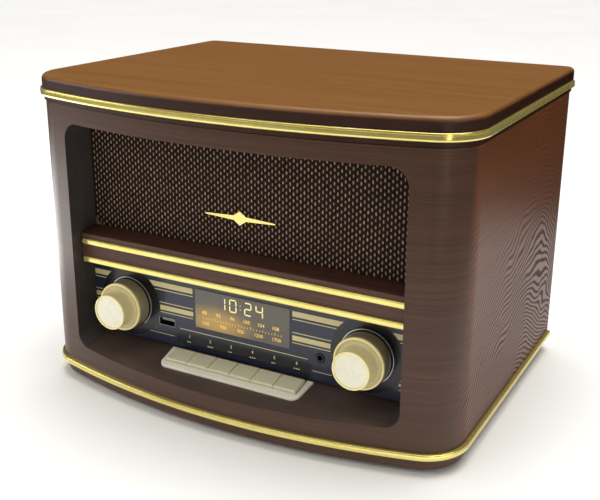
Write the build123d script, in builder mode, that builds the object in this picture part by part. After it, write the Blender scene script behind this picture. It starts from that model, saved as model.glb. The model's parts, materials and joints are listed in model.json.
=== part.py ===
from build123d import *
import math
import os

# Table radio with a bowed wooden cabinet, a hinged lid over a disc deck, two speakers
# behind a cloth grille and a recessed control panel with two knobs and six keys.
# Millimetres. +Z is up, the front faces -Y, and the floor is at Z = 0.

# overall sizes
body_width = 320.0
body_depth = 250.0
front_bow = 25.0
corner_radius = 30.0
rear_radius = 6.0
foot_height = 3.0
plinth_height = 8.5
base_trim_height = 4.5
shell_height = 192.7
lid_gap = 0.3
lid_height = 17.5
trim_proud = 3.4
mast_offset = 8.4
elbow_radius = 3.8
rear_proud = mast_offset + elbow_radius

# walls and fits
side_wall = 12.0
fit_gap = 0.2
running_gap = 0.05

# planes in depth: each is measured back from the middle of the bowed front
front_y = -(trim_proud + body_depth + rear_proud) / 2 + trim_proud
back_y = front_y + body_depth
body_mid_y = front_y + body_depth / 2
wall_back = front_y + 28.0
rail_front = front_y + 25.0
panel_front = front_y + 37.5
panel_thickness = 5.5
cloth_front = front_y + 42.0
cloth_thickness = 1.0
baffle_front = cloth_front + cloth_thickness
baffle_thickness = 9.0
baffle_back = baffle_front + baffle_thickness
panel_back = panel_front + panel_thickness

# heights
plinth_bottom = foot_height
base_trim_bottom = plinth_bottom + plinth_height
shell_bottom = base_trim_bottom + base_trim_height
shell_top = shell_bottom + shell_height
lid_bottom = shell_top + lid_gap
lid_top = lid_bottom + lid_height

# front opening
opening_half_width = 127.0
opening_top = shell_top - 12.2
opening_corner = 8.0
sill_height = 28.0
sill_slope = 0.2
sill_angle = math.degrees(math.atan(sill_slope))
opening_edge_radius = 1.2

# rear rail and panel
rear_rail_depth = 12.0
rear_rail_height = 18.0
back_panel_inset = 3.0
back_panel_thickness = 4.0
bottom_board_thickness = 6.0
bottom_board_top = shell_bottom + bottom_board_thickness

inner_corner = 14.0
inner_half_width = body_width / 2 - side_wall
deck_top = shell_top - 6.7
deck_thickness = 2.5
inner_rear_y = back_y - rear_rail_depth
rear_rail_bottom = shell_top - rear_rail_height

sill_plane = Plane(
    origin=(0, front_y, sill_height),
    x_dir=(1, 0, 0),
    z_dir=(0, -sill_slope, 1),
)


def sill_z(y):
    return sill_height + sill_slope * (y - front_y)


def along_sill(depth):
    return depth / math.cos(math.radians(sill_angle))


def plan_face(amount=0.0):
    """Plan of the cabinet: bowed front, rounded corners, grown by an amount."""
    half = body_width / 2
    corner_y = front_y + front_bow
    with BuildSketch() as plan:
        with BuildLine():
            ThreePointArc((-half, corner_y), (0, front_y), (half, corner_y))
            Polyline((half, corner_y), (half, back_y), (-half, back_y), (-half, corner_y))
        make_face()
        fillet(plan.vertices().group_by(Axis.Y)[0], corner_radius)
        fillet(plan.vertices().group_by(Axis.Y)[-1], rear_radius)
        if amount:
            offset(amount=amount, kind=Kind.ARC)
    return plan.sketch


def save(part, name):
    part.label = name
    export_step(part, f"parts/{name}.step")


def box_between(low, high, mode=Mode.ADD):
    """A box given by its lowest and highest corners."""
    middle = [(a + b) / 2 for a, b in zip(low, high)]
    sizes = [b - a for a, b in zip(low, high)]
    with Locations(tuple(middle)):
        Box(*sizes, mode=mode)


def front_axis(x, z, y=0.0):
    """A plane facing the viewer: its X is the model's X and its Y is the model's Z."""
    return Plane(origin=(x, y, z), x_dir=(1, 0, 0), z_dir=(0, -1, 0))


def turned(x, z, profile):
    """A round piece on an axis along Y. The profile lists (radius, y)."""
    with BuildPart() as piece:
        with BuildSketch(Plane(origin=(x, 0, z), x_dir=(1, 0, 0), z_dir=(0, 0, 1))):
            with BuildLine():
                Polyline(*profile, close=True)
            make_face()
        revolve(axis=Axis((x, 0, z), (0, 1, 0)))
    return piece.part


os.makedirs("parts", exist_ok=True)

# ---------------------------------------------------------------- cabinet shell
with BuildPart() as opening_cutter:
    with BuildSketch(front_axis(0, 0, wall_back + 1)):
        with Locations((0, opening_top / 2)):
            RectangleRounded(2 * opening_half_width, opening_top, opening_corner)
    extrude(amount=60)
    shelf_depth = 2.5
    shelf_front = front_y + 18.5
    shelf_drop = (shelf_depth + fit_gap) / math.cos(math.radians(sill_angle))
    with BuildSketch(Plane.YZ):
        with BuildLine():
            Polyline(
                (front_y - 20, sill_z(front_y - 20)),
                (shelf_front, sill_z(shelf_front)),
                (shelf_front, sill_z(shelf_front) - shelf_drop),
                (wall_back + 1, sill_z(wall_back + 1) - shelf_drop),
                (wall_back + 1, opening_top),
                (front_y - 20, opening_top),
                close=True,
            )
        make_face()
    extrude(amount=body_width, both=True, mode=Mode.INTERSECT)

key_count = 6
key_pitch = 17.33
keys_half = key_count * key_pitch / 2
key_pocket_half = keys_half + 8.01
key_pocket_floor = shell_bottom + 3.0

with BuildPart() as cabinet_shell:
    with BuildSketch(Plane.XY.offset(shell_bottom)):
        add(plan_face())
    extrude(amount=shell_height)
    fillet(cabinet_shell.faces().sort_by(Axis.Z)[-1].edges(), 0.8)
    with BuildSketch(Plane.XY.offset(shell_bottom)) as hollow:
        with BuildLine():
            Polyline(
                (-inner_half_width, wall_back),
                (inner_half_width, wall_back),
                (inner_half_width, inner_rear_y),
                (-inner_half_width, inner_rear_y),
                close=True,
            )
        make_face()
        fillet(hollow.vertices().group_by(Axis.Y)[0], inner_corner)
    extrude(amount=shell_height, mode=Mode.SUBTRACT)
    box_between(
        (-inner_half_width, inner_rear_y - 1, shell_bottom),
        (inner_half_width, back_y + 1, rear_rail_bottom),
        Mode.SUBTRACT,
    )
    add(opening_cutter.part, mode=Mode.SUBTRACT)
    box_between(
        (-key_pocket_half, shelf_front, key_pocket_floor),
        (key_pocket_half, wall_back + 1, sill_z(wall_back + 1) - shelf_drop),
        Mode.SUBTRACT,
    )
save(cabinet_shell.part, "cabinet_shell")

# ---------------------------------------------------------------- plinth, base trim, feet
plinth_inset = 2.0
trim_core = 6.0
with BuildPart() as plinth:
    with BuildSketch(Plane.XY.offset(plinth_bottom)):
        add(plan_face(-plinth_inset))
    extrude(amount=plinth_height)
    fillet(plinth.faces().sort_by(Axis.Z)[0].edges(), 1.5)
    with BuildSketch(Plane.XY.offset(base_trim_bottom)):
        add(plan_face(-trim_core))
    extrude(amount=base_trim_height)
    strip_half = body_width / 2 - trim_core
    box_between(
        (-strip_half, back_y - 30, base_trim_bottom - 1),
        (strip_half, back_y - plinth_inset, shell_bottom),
    )
    with BuildSketch(Plane.XY.offset(plinth_bottom)):
        with Locations((0, body_mid_y + 8)):
            RectangleRounded(240, 165, 12)
    extrude(amount=plinth_height + base_trim_height, mode=Mode.SUBTRACT)
save(plinth.part, "plinth")

base_trim_proud = 2.6


def trim_band(proud, depth_in, bottom, height, edge):
    """A rounded metal band round the front and both sides."""
    with BuildPart() as band:
        with BuildSketch(Plane.XY.offset(bottom)):
            add(plan_face(proud))
        extrude(amount=height)
        fillet(band.faces().sort_by(Axis.Z)[0].edges(), edge)
        fillet(band.faces().sort_by(Axis.Z)[-1].edges(), edge)
        with BuildSketch(Plane.XY.offset(bottom)):
            add(plan_face(-depth_in))
            with Locations((0, back_y)):
                Rectangle(body_width - 2 * depth_in, 2 * (proud + 30))
        extrude(amount=height, mode=Mode.SUBTRACT)
        box_between(
            (-body_width, back_y - rear_radius, bottom - 1),
            (body_width, back_y + 20, bottom + height + 1),
            Mode.SUBTRACT,
        )
    return band.part


base_trim = trim_band(base_trim_proud, trim_core - fit_gap, base_trim_bottom, base_trim_height, 1.6)
save(base_trim, "base_trim")

foot_radius = 12.0
foot_x = 138.0
with BuildPart() as feet:
    for x in (-foot_x, foot_x):
        for y in (body_mid_y - 84, body_mid_y + 102):
            with Locations((x, y, foot_height / 2)):
                Cylinder(foot_radius, foot_height)
save(feet.part, "feet")

with BuildPart() as bottom_board:
    box_between(
        (-inner_half_width + fit_gap, wall_back + 14, shell_bottom),
        (inner_half_width - fit_gap, back_y - back_panel_inset - back_panel_thickness - fit_gap, bottom_board_top),
    )
save(bottom_board.part, "bottom_board")

# ---------------------------------------------------------------- fascia, baffle, cloth
frame_half = 143.0
frame_top = deck_top - deck_thickness - fit_gap
frame_bottom = bottom_board_top
with BuildPart() as fascia_frame:
    box_between((-frame_half, wall_back, frame_bottom), (frame_half, baffle_front, frame_top))
    fillet(fascia_frame.edges().filter_by(Axis.Z).group_by(Axis.Y)[0], inner_corner - 3)
    with BuildSketch(front_axis(0, 0, baffle_front)):
        with Locations((0, opening_top / 2)):
            RectangleRounded(2 * opening_half_width, opening_top, opening_corner)
    extrude(amount=40, mode=Mode.SUBTRACT)
save(fascia_frame.part, "fascia_frame")

rail_bottom = 93.0
rail_top = 114.7
rail_top_rise = 1.8
cloth_bottom = rail_top + rail_top_rise
cloth_radius = 9.0
speaker_x = 72.0
speaker_z = (cloth_bottom + opening_top) / 2 - 2.0
speaker_hole = 34.0
window_half = 121.0
with BuildPart() as speaker_baffle:
    box_between((-frame_half, baffle_front, frame_bottom), (frame_half, baffle_back, frame_top))
    with BuildSketch(front_axis(0, 0, baffle_back)):
        with Locations((-speaker_x, speaker_z), (speaker_x, speaker_z)):
            Circle(speaker_hole)
        with Locations((0, 64.5)):
            Rectangle(2 * window_half, 53)
    extrude(amount=baffle_thickness, mode=Mode.SUBTRACT)
save(speaker_baffle.part, "speaker_baffle")

cloth_height = opening_top - cloth_bottom - 2 * fit_gap
with BuildPart() as grille_cloth:
    with BuildSketch(front_axis(0, (cloth_bottom + opening_top) / 2, baffle_front)):
        RectangleRounded(2 * (opening_half_width - fit_gap), cloth_height, cloth_radius)
    extrude(amount=cloth_thickness)
save(grille_cloth.part, "grille_cloth")

# small plain ornament on the cloth: a lozenge between two tapered bars
ornament_z = 140.0
with BuildPart() as grille_ornament:
    with BuildSketch(front_axis(-2, ornament_z, cloth_front)):
        with BuildLine():
            Polyline((-7, 0), (0, 5), (7, 0), (0, -5), close=True)
        make_face()
        for side in (-1, 1):
            with BuildLine():
                Polyline(
                    (side * 5, 1.6), (side * 27, 0.5), (side * 27, -0.5), (side * 5, -1.6), close=True
                )
            make_face()
    extrude(amount=1.4)
save(grille_ornament.part, "grille_ornament")

# ---------------------------------------------------------------- divider rail and bars
with BuildPart() as divider_rail:
    with BuildSketch(Plane.YZ):
        with BuildLine():
            Polyline(
                (rail_front, rail_bottom),
                (baffle_front, rail_bottom),
                (baffle_front, cloth_bottom),
                (rail_front, rail_top),
                close=True,
            )
        make_face()
    extrude(amount=opening_half_width - fit_gap, both=True)
    fillet(divider_rail.edges().filter_by(Axis.X).group_by(Axis.Y)[0], 0.8)
save(divider_rail.part, "divider_rail")

bar_height = 4.5
bar_proud = 1.6
for bar_name, bar_z in (("upper_rail_bar", rail_top - 5.8), ("lower_rail_bar", rail_bottom + bar_height / 2 + 0.2)):
    with BuildPart() as rail_bar:
        with BuildSketch(front_axis(0, bar_z, rail_front)):
            RectangleRounded(2 * (opening_half_width - 1.2), bar_height, 1.5)
        extrude(amount=bar_proud)
        fillet(rail_bar.faces().sort_by(Axis.Y)[0].edges(), 1.1)
    save(rail_bar.part, bar_name)

# ---------------------------------------------------------------- control panel
panel_bottom = sill_z(panel_back) + 0.3
panel_top = rail_bottom - fit_gap
knob_x = opening_half_width - 32.5
knob_z = 63.7
lcd_half = 38.0
lcd_bottom = 55.6
lcd_top = 84.8
ring_radius = 19.5
usb_x = -(lcd_half + (knob_x - ring_radius - lcd_half) * 24.5 / 37.0)
usb_z = 54.3
usb_width = 14.5
usb_height = 7.0
jack_x = 61.0
jack_z = 54.5
jack_outer = 3.2
jack_bore = 1.75
bush_radius = 3.5
shaft_radius = 3.0
board_front = panel_back + 6.0
board_thickness = 1.6
board_half = opening_half_width - 9.0
post_x = opening_half_width - 15.0
board_low = 40.5
board_high = 88.0

with BuildPart() as control_panel:
    box_between(
        (-opening_half_width + fit_gap, panel_front, panel_bottom),
        (opening_half_width - fit_gap, panel_back, panel_top),
    )
    for x in (-post_x, post_x):
        for z in (44, 84):
            with Locations((x, (panel_back + board_front) / 2, z)):
                Cylinder(2.5, board_front - panel_back, rotation=(90, 0, 0))
    with BuildSketch(front_axis(0, 0, panel_back)):
        with Locations((-knob_x, knob_z), (knob_x, knob_z)):
            Circle(bush_radius + fit_gap)
        with Locations((0, (lcd_bottom + lcd_top) / 2)):
            Rectangle(2 * lcd_half, lcd_top - lcd_bottom)
        with Locations((usb_x, usb_z)):
            Rectangle(usb_width + 2 * fit_gap, usb_height + 2 * fit_gap)
        with Locations((jack_x, jack_z)):
            Circle(jack_outer + fit_gap)
    extrude(amount=panel_thickness, mode=Mode.SUBTRACT)
save(control_panel.part, "control_panel")

window_thickness = 1.6
with BuildPart() as lcd_window:
    box_between(
        (-lcd_half + 0.1, panel_front - 0.2, lcd_bottom + 0.1),
        (lcd_half - 0.1, panel_front + window_thickness, lcd_top - 0.1),
    )
save(lcd_window.part, "lcd_window")

with BuildPart() as lcd_module:
    box_between(
        (-lcd_half + 0.3, panel_front + window_thickness + fit_gap, lcd_bottom + 0.3),
        (lcd_half - 0.3, board_front, lcd_top - 0.3),
    )
save(lcd_module.part, "lcd_module")

with BuildPart() as control_board:
    box_between(
        (-board_half, board_front, board_low),
        (board_half, board_front + board_thickness, board_high),
    )
save(control_board.part, "control_board")

with BuildPart() as usb_socket:
    with BuildSketch(front_axis(usb_x, usb_z, board_front)):
        RectangleRounded(usb_width, usb_height, 0.8)
    extrude(amount=board_front - panel_front + 0.3)
    with BuildSketch(front_axis(usb_x, usb_z, board_front - 1)):
        Rectangle(usb_width - 1.6, usb_height - 1.6)
    extrude(amount=board_front - panel_front + 2, mode=Mode.SUBTRACT)
    box_between(
        (usb_x - 5.6, panel_front + 1.5, usb_z + 0.1),
        (usb_x + 5.6, board_front, usb_z + 1.9),
    )
save(usb_socket.part, "usb_socket")

jack_depth = 11.0
jack_front = panel_front - 0.4
phones_jack = turned(
    jack_x,
    jack_z,
    [
        (0, board_front),
        (jack_outer, board_front),
        (jack_outer, jack_front),
        (jack_bore, jack_front),
        (jack_bore, jack_front + jack_depth),
        (0, jack_front + jack_depth),
    ],
)
save(phones_jack, "phones_jack")

# ---------------------------------------------------------------- knobs
ring_outer = 19.5
ring_front = panel_front - 1.0
skirt_radius = 17.8
cap_radius = 12.9
skirt_front = front_y + 24.0
cap_front = front_y + 12.5
knob_back = ring_front - 1.3
shaft_front = cap_front + 3.5
encoder_half = 6.2
for side, knob_name in ((-1, "volume"), (1, "tuning")):
    x = side * knob_x

    dial_ring = turned(
        x,
        knob_z,
        [(4.4, panel_front), (ring_outer, panel_front), (ring_outer - 0.4, ring_front), (4.4, ring_front)],
    )
    save(dial_ring, f"{knob_name}_dial_ring")

    with BuildPart() as encoder:
        box_between(
            (x - encoder_half, panel_back, knob_z - encoder_half),
            (x + encoder_half, board_front, knob_z + encoder_half),
        )
        with Locations((x, (panel_front + 1.5 + panel_back) / 2, knob_z)):
            Cylinder(bush_radius, panel_back - panel_front - 1.5, rotation=(90, 0, 0))
        with BuildSketch(front_axis(x, knob_z, panel_back + 4.0)):
            Circle(shaft_radius + running_gap)
        extrude(amount=20, mode=Mode.SUBTRACT)
    save(encoder.part, f"{knob_name}_encoder")

    with BuildPart() as shaft:
        with BuildSketch(front_axis(x, knob_z, panel_back + 3.8)):
            Circle(shaft_radius)
        extrude(amount=panel_back + 3.8 - shaft_front)
        chamfer(shaft.faces().sort_by(Axis.Y)[0].edges(), 0.5)
    save(shaft.part, f"{knob_name}_shaft")

    bore = shaft_radius + running_gap
    knob = turned(
        x,
        knob_z,
        [
            (0, cap_front + 1.5),
            (cap_radius - 1.3, cap_front + 1.5),
            (cap_radius - 1.3, cap_front),
            (cap_radius - 0.3, cap_front),
            (cap_radius, cap_front + 0.4),
            (cap_radius + 0.3, skirt_front + 0.6),
            (cap_radius + 1.7, skirt_front + 1.0),
            (skirt_radius - 1.5, skirt_front),
            (skirt_radius - 0.5, skirt_front),
            (skirt_radius, skirt_front + 0.6),
            (skirt_radius, knob_back),
            (skirt_radius - 2.0, knob_back),
            (skirt_radius - 2.0, skirt_front + 3.4),
            (5.5, skirt_front + 3.4),
            (5.5, knob_back - 0.2),
            (bore, knob_back - 0.2),
            (bore, cap_front + 2.4),
            (0, cap_front + 2.4),
        ],
    )
    save(knob, f"{knob_name}_knob")

    knob_cap = turned(
        x,
        knob_z,
        [
            (0, cap_front + 1.5),
            (cap_radius - 1.4, cap_front + 1.5),
            (cap_radius - 1.4, cap_front + 0.6),
            (0, cap_front + 0.2),
        ],
    )
    save(knob_cap, f"{knob_name}_knob_cap")

# ---------------------------------------------------------------- key shelf and keys
key_width = key_pitch - 0.33
key_front = along_sill(20.6)
key_rear = along_sill(34.2)
key_top = 3.8
key_travel = 1.2
key_bottom = -shelf_depth - 1.3
bezel_top = 1.8
bezel_front = along_sill(15.0)
bezel_rear = along_sill(36.3)
bezel_half = keys_half + 4.8
switch_top = key_bottom - key_travel - 0.2
switch_board_top = switch_top - 2.8

with BuildPart() as key_shelf:
    with BuildSketch(Plane.YZ):
        with BuildLine():
            Polyline(
                (shelf_front + fit_gap, sill_z(shelf_front + fit_gap)),
                (baffle_front, sill_z(baffle_front)),
                (baffle_front, sill_z(baffle_front) - shelf_depth * 1.02),
                (shelf_front + fit_gap, sill_z(shelf_front + fit_gap) - shelf_depth * 1.02),
                close=True,
            )
        make_face()
    extrude(amount=opening_half_width - fit_gap, both=True)
    with BuildSketch(sill_plane.offset(2)):
        with Locations((0, (key_front + key_rear) / 2)):
            Rectangle(2 * keys_half + 0.4, key_rear - key_front + 0.6)
    extrude(amount=-8, mode=Mode.SUBTRACT)
    with BuildSketch(sill_plane.offset(switch_board_top)):
        with Locations((-keys_half - 2.6, along_sill(27.5)), (keys_half + 2.6, along_sill(27.5))):
            Circle(1.6)
    extrude(amount=-switch_board_top - shelf_depth + 0.5)
save(key_shelf.part, "key_shelf")

with BuildPart() as key_bezel:
    with BuildSketch(sill_plane) as bezel_sketch:
        with BuildLine():
            Polyline(
                (-bezel_half + 2, bezel_front),
                (bezel_half - 2, bezel_front),
                (bezel_half, bezel_rear),
                (-bezel_half, bezel_rear),
                close=True,
            )
        make_face()
        fillet(bezel_sketch.vertices().group_by(Axis.Y)[0], 6)
        with Locations((0, (key_front + bezel_rear) / 2 + 2)):
            Rectangle(2 * keys_half + 0.4, bezel_rear - key_front + 4.6, mode=Mode.SUBTRACT)
    extrude(amount=bezel_top)
    fillet(key_bezel.faces().sort_by(Axis(sill_plane.origin, sill_plane.z_dir))[-1].edges(), 0.7)
save(key_bezel.part, "key_bezel")

for number in range(key_count):
    key_x = (number - (key_count - 1) / 2) * key_pitch
    with BuildPart() as key:
        with BuildSketch(sill_plane.offset(key_bottom)):
            with Locations((key_x, (key_front + key_rear) / 2)):
                Rectangle(key_width, key_rear - key_front)
        extrude(amount=key_top - key_bottom)
        fillet(key.faces().sort_by(Axis(sill_plane.origin, sill_plane.z_dir))[-1].edges(), 0.9)
        with BuildSketch(sill_plane.offset(key_bottom)):
            with Locations((key_x, (key_front + key_rear) / 2)):
                Rectangle(key_width, key_rear - key_front + 2.6)
        extrude(amount=1.0)
    save(key.part, f"key_{number + 1}")

with BuildPart() as key_switch_board:
    with BuildSketch(sill_plane.offset(switch_board_top)):
        with Locations((0, along_sill(27.5))):
            Rectangle(2 * keys_half + 8.4, along_sill(15.5))
    extrude(amount=-board_thickness)
    with BuildSketch(sill_plane.offset(switch_board_top)):
        with GridLocations(key_pitch, 1, key_count, 1):
            with Locations((0, along_sill(27.5))):
                Rectangle(6, 6)
    extrude(amount=2.0)
    with BuildSketch(sill_plane.offset(switch_board_top + 2.0)):
        with GridLocations(key_pitch, 1, key_count, 1):
            with Locations((0, along_sill(27.5))):
                Circle(1.7)
    extrude(amount=0.8)
save(key_switch_board.part, "key_switch_board")

# ---------------------------------------------------------------- speakers
flange_radius = 37.5
magnet_radius = 23.0
coil_outer = 10.0
gap_inner = 9.2
gap_outer = 10.4
frame_depth = 20.0
for side, speaker_name in ((-1, "left"), (1, "right")):
    x = side * speaker_x
    y0 = baffle_back
    basket = turned(
        x,
        speaker_z,
        [
            (speaker_hole - 1.5, y0),
            (flange_radius, y0),
            (flange_radius, y0 + 2),
            (speaker_hole + 0.5, y0 + 2),
            (magnet_radius, y0 + frame_depth - 1),
            (magnet_radius, y0 + frame_depth),
            (12.0, y0 + frame_depth),
            (12.0, y0 + frame_depth - 1.5),
            (magnet_radius - 2, y0 + frame_depth - 1.5),
            (speaker_hole - 1.5, y0 + 2),
        ],
    )
    save(basket, f"{speaker_name}_speaker_basket")

    cone = turned(
        x,
        speaker_z,
        [
            (0, y0 + 8.2),
            (coil_outer, y0 + 10.5),
            (speaker_hole - 4, y0 - 1.0),
            (speaker_hole - 2.4, y0 - 2.0),
            (speaker_hole - 1.9, y0 - 1.2),
            (speaker_hole - 3.8, y0 + 0.4),
            (coil_outer, y0 + 12.0),
            (coil_outer, y0 + 26.0),
            (coil_outer - 0.5, y0 + 26.0),
            (coil_outer - 0.5, y0 + 11.4),
            (0, y0 + 9.2),
        ],
    )
    save(cone, f"{speaker_name}_speaker_cone")

    magnet = turned(
        x,
        speaker_z,
        [
            (gap_outer, y0 + frame_depth),
            (magnet_radius - 0.5, y0 + frame_depth),
            (magnet_radius - 0.5, y0 + frame_depth + 14),
            (0, y0 + frame_depth + 14),
            (0, y0 + frame_depth),
            (gap_inner, y0 + frame_depth),
            (gap_inner, y0 + frame_depth + 9),
            (gap_outer, y0 + frame_depth + 9),
        ],
    )
    save(magnet, f"{speaker_name}_speaker_magnet")

# ---------------------------------------------------------------- electronics on the base
with BuildPart() as main_board:
    box_between((-120, -35, bottom_board_top + 6), (50, 75, bottom_board_top + 6 + board_thickness))
    for x, y in ((-114, -29), (44, -29), (-114, 69), (44, 69)):
        with Locations((x, y, bottom_board_top + 3)):
            Cylinder(3, 6)
    box_between((-80, 0, bottom_board_top + 7), (-45, 35, bottom_board_top + 16))
    box_between((-20, -15, bottom_board_top + 7), (5, 5, bottom_board_top + 12))
    box_between((10, 40, bottom_board_top + 7), (35, 60, bottom_board_top + 25))
save(main_board.part, "main_board")

with BuildPart() as transformer:
    box_between((80, 20, bottom_board_top), (130, 30, bottom_board_top + 42))
    box_between((80, 52, bottom_board_top), (130, 62, bottom_board_top + 42))
    box_between((84, 29, bottom_board_top + 4), (126, 53, bottom_board_top + 38))
save(transformer.part, "transformer")

# ---------------------------------------------------------------- disc deck
well_radius = 63.0
well_depth = 8.0
well_y = body_mid_y + 17
well_floor = deck_top - well_depth
dish_floor = 2.0
hub_radius = 16.0
motor_radius = 12.0
slot_low = 21.0
slot_high = 56.0
chassis_top = well_floor - dish_floor
with BuildPart() as deck_plate:
    with BuildSketch(Plane.XY.offset(deck_top)) as deck_sketch:
        with BuildLine():
            Polyline(
                (-inner_half_width + fit_gap, wall_back + 25),
                (inner_half_width - fit_gap, wall_back + 25),
                (inner_half_width - fit_gap, inner_rear_y - fit_gap),
                (-inner_half_width + fit_gap, inner_rear_y - fit_gap),
                close=True,
            )
        make_face()
    extrude(amount=-deck_thickness)
    box_between(
        (-inner_half_width + 15, wall_back + fit_gap, deck_top - deck_thickness),
        (inner_half_width - 15, wall_back + 26, deck_top),
    )
    with BuildSketch(Plane.XY.offset(chassis_top)):
        with Locations((0, well_y)):
            Circle(well_radius + 2)
    extrude(amount=deck_top - chassis_top)
    with BuildSketch(Plane.XY.offset(deck_top)):
        with Locations((0, well_y)):
            Circle(well_radius)
    extrude(amount=-well_depth, mode=Mode.SUBTRACT)
    with BuildSketch(Plane.XY.offset(deck_top)):
        with Locations((0, well_y)):
            Circle(9)
        with Locations(((slot_low + slot_high) / 2, well_y)):
            SlotOverall(slot_high - slot_low, 14)
    extrude(amount=-30, mode=Mode.SUBTRACT)
save(deck_plate.part, "deck_plate")

spindle_radius = 1.5
with BuildPart() as drive_chassis:
    box_between((-30, well_y - 24, chassis_top - 18), (64, well_y + 24, chassis_top - 16))
    box_between((-30, well_y - 24, chassis_top - 17), (-27, well_y + 24, chassis_top))
    box_between((61, well_y - 24, chassis_top - 17), (64, well_y + 24, chassis_top))
    with Locations((0, well_y, chassis_top - 11.5)):
        Cylinder(motor_radius, 11)
    for y in (well_y - 16, well_y + 16):
        with Locations((17, y, chassis_top - 7)):
            Cylinder(1.5, 91, rotation=(0, 90, 0))
    with BuildSketch(Plane.XY.offset(chassis_top - 15)):
        with Locations((0, well_y)):
            Circle(spindle_radius + running_gap)
    extrude(amount=20, mode=Mode.SUBTRACT)
save(drive_chassis.part, "drive_chassis")

with BuildPart() as disc_spindle:
    with Locations((0, well_y, chassis_top - 4)):
        Cylinder(spindle_radius, 21.6)
    with Locations((0, well_y, well_floor + 1.6)):
        Cylinder(hub_radius, 2)
    with Locations((0, well_y, well_floor + 3.6)):
        Cylinder(7.3, 2.6)
save(disc_spindle.part, "disc_spindle")

sled_low = 23.5
with BuildPart() as laser_sled:
    box_between((sled_low - 8, well_y - 21, chassis_top - 11.5), (sled_low + 8, well_y + 21, chassis_top - 3))
    box_between((sled_low + 1, well_y - 5, chassis_top - 4), (sled_low + 8, well_y + 5, well_floor - 0.6))
    with Locations((sled_low + 4.5, well_y, well_floor - 0.3)):
        Cylinder(3, 1.2)
    for y in (well_y - 16, well_y + 16):
        with BuildSketch(Plane.YZ.offset(sled_low - 9)):
            with Locations((y, chassis_top - 7)):
                Circle(1.5 + running_gap)
        extrude(amount=20, mode=Mode.SUBTRACT)
    box_between(
        (sled_low - 9, well_y - motor_radius - 1, chassis_top - 20),
        (sled_low - 0, well_y + motor_radius + 1, chassis_top + 1),
        Mode.SUBTRACT,
    )
save(laser_sled.part, "laser_sled")

# ---------------------------------------------------------------- lid
lid_overhang = 2.0
lid_trim_height = 5.5
lid_strip = 3.0
lid_rebate = 3.0
lid_trim_bottom = lid_bottom + lid_strip
lid_trim_top = lid_trim_bottom + lid_trim_height
lid_skin = 9.0
with BuildPart() as lid_panel:
    with BuildSketch(Plane.XY.offset(lid_trim_top)):
        add(plan_face(lid_overhang))
    extrude(amount=lid_top - lid_trim_top)
    fillet(lid_panel.faces().sort_by(Axis.Z)[-1].edges(), 3.5)
    with BuildSketch(Plane.XY.offset(lid_trim_bottom)):
        add(plan_face(-lid_rebate))
    extrude(amount=lid_trim_height)
    box_between(
        (-body_width / 2 + lid_rebate, back_y - 30, lid_trim_bottom),
        (body_width / 2 - lid_rebate, back_y, lid_trim_top),
    )
    with BuildSketch(Plane.XY.offset(lid_bottom)):
        add(plan_face(1.0))
    extrude(amount=lid_strip)
    box_between(
        (-body_width, back_y, lid_bottom - 1),
        (body_width, back_y + 20, lid_top + 1),
        Mode.SUBTRACT,
    )
    with BuildSketch(Plane.XY.offset(lid_bottom)):
        with Locations((0, body_mid_y + 8)):
            RectangleRounded(272, 200, 10)
    extrude(amount=lid_height - lid_skin, mode=Mode.SUBTRACT)
save(lid_panel.part, "lid_panel")

lid_trim = trim_band(trim_proud, lid_rebate - fit_gap, lid_trim_bottom, lid_trim_height, 1.9)
save(lid_trim, "lid_trim")

# ---------------------------------------------------------------- lid hinges
hinge_x = 95.0
hinge_width = 44.0
leaf_thickness = 1.4
leaf_height = 14.0
knuckle_radius = 2.2
pin_radius = 1.0
hinge_y = back_y + 2.8
hinge_z = (shell_top + lid_bottom) / 2
with BuildPart() as hinge_base_leaves:
    for x in (-hinge_x, hinge_x):
        box_between(
            (x - hinge_width / 2, back_y, hinge_z - leaf_height),
            (x + hinge_width / 2, back_y + leaf_thickness, hinge_z - 2.6),
        )
        for offset_x in (-hinge_width / 2 + 5, hinge_width / 2 - 5):
            with Locations((x + offset_x, hinge_y, hinge_z)):
                Cylinder(knuckle_radius, 10, rotation=(0, 90, 0))
            box_between(
                (x + offset_x - 5, back_y, hinge_z - 3),
                (x + offset_x + 5, back_y + leaf_thickness + 1.4, hinge_z - 0.4),
            )
        with Locations((x, hinge_y, hinge_z)):
            Cylinder(pin_radius, hinge_width, rotation=(0, 90, 0))
save(hinge_base_leaves.part, "hinge_base_leaves")

middle_knuckle = hinge_width - 20.6
with BuildPart() as hinge_lid_leaves:
    for x in (-hinge_x, hinge_x):
        box_between(
            (x - hinge_width / 2, back_y, hinge_z + 2.8),
            (x + hinge_width / 2, back_y + leaf_thickness, hinge_z + leaf_height),
        )
        with Locations((x, hinge_y, hinge_z)):
            Cylinder(knuckle_radius, middle_knuckle, rotation=(0, 90, 0))
        box_between(
            (x - middle_knuckle / 2, back_y, hinge_z + 0.4),
            (x + middle_knuckle / 2, back_y + leaf_thickness + 1.4, hinge_z + 3.2),
        )
        with Locations((x, hinge_y, hinge_z)):
            Cylinder(pin_radius + running_gap, hinge_width + 2, rotation=(0, 90, 0), mode=Mode.SUBTRACT)
save(hinge_lid_leaves.part, "hinge_lid_leaves")

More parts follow.
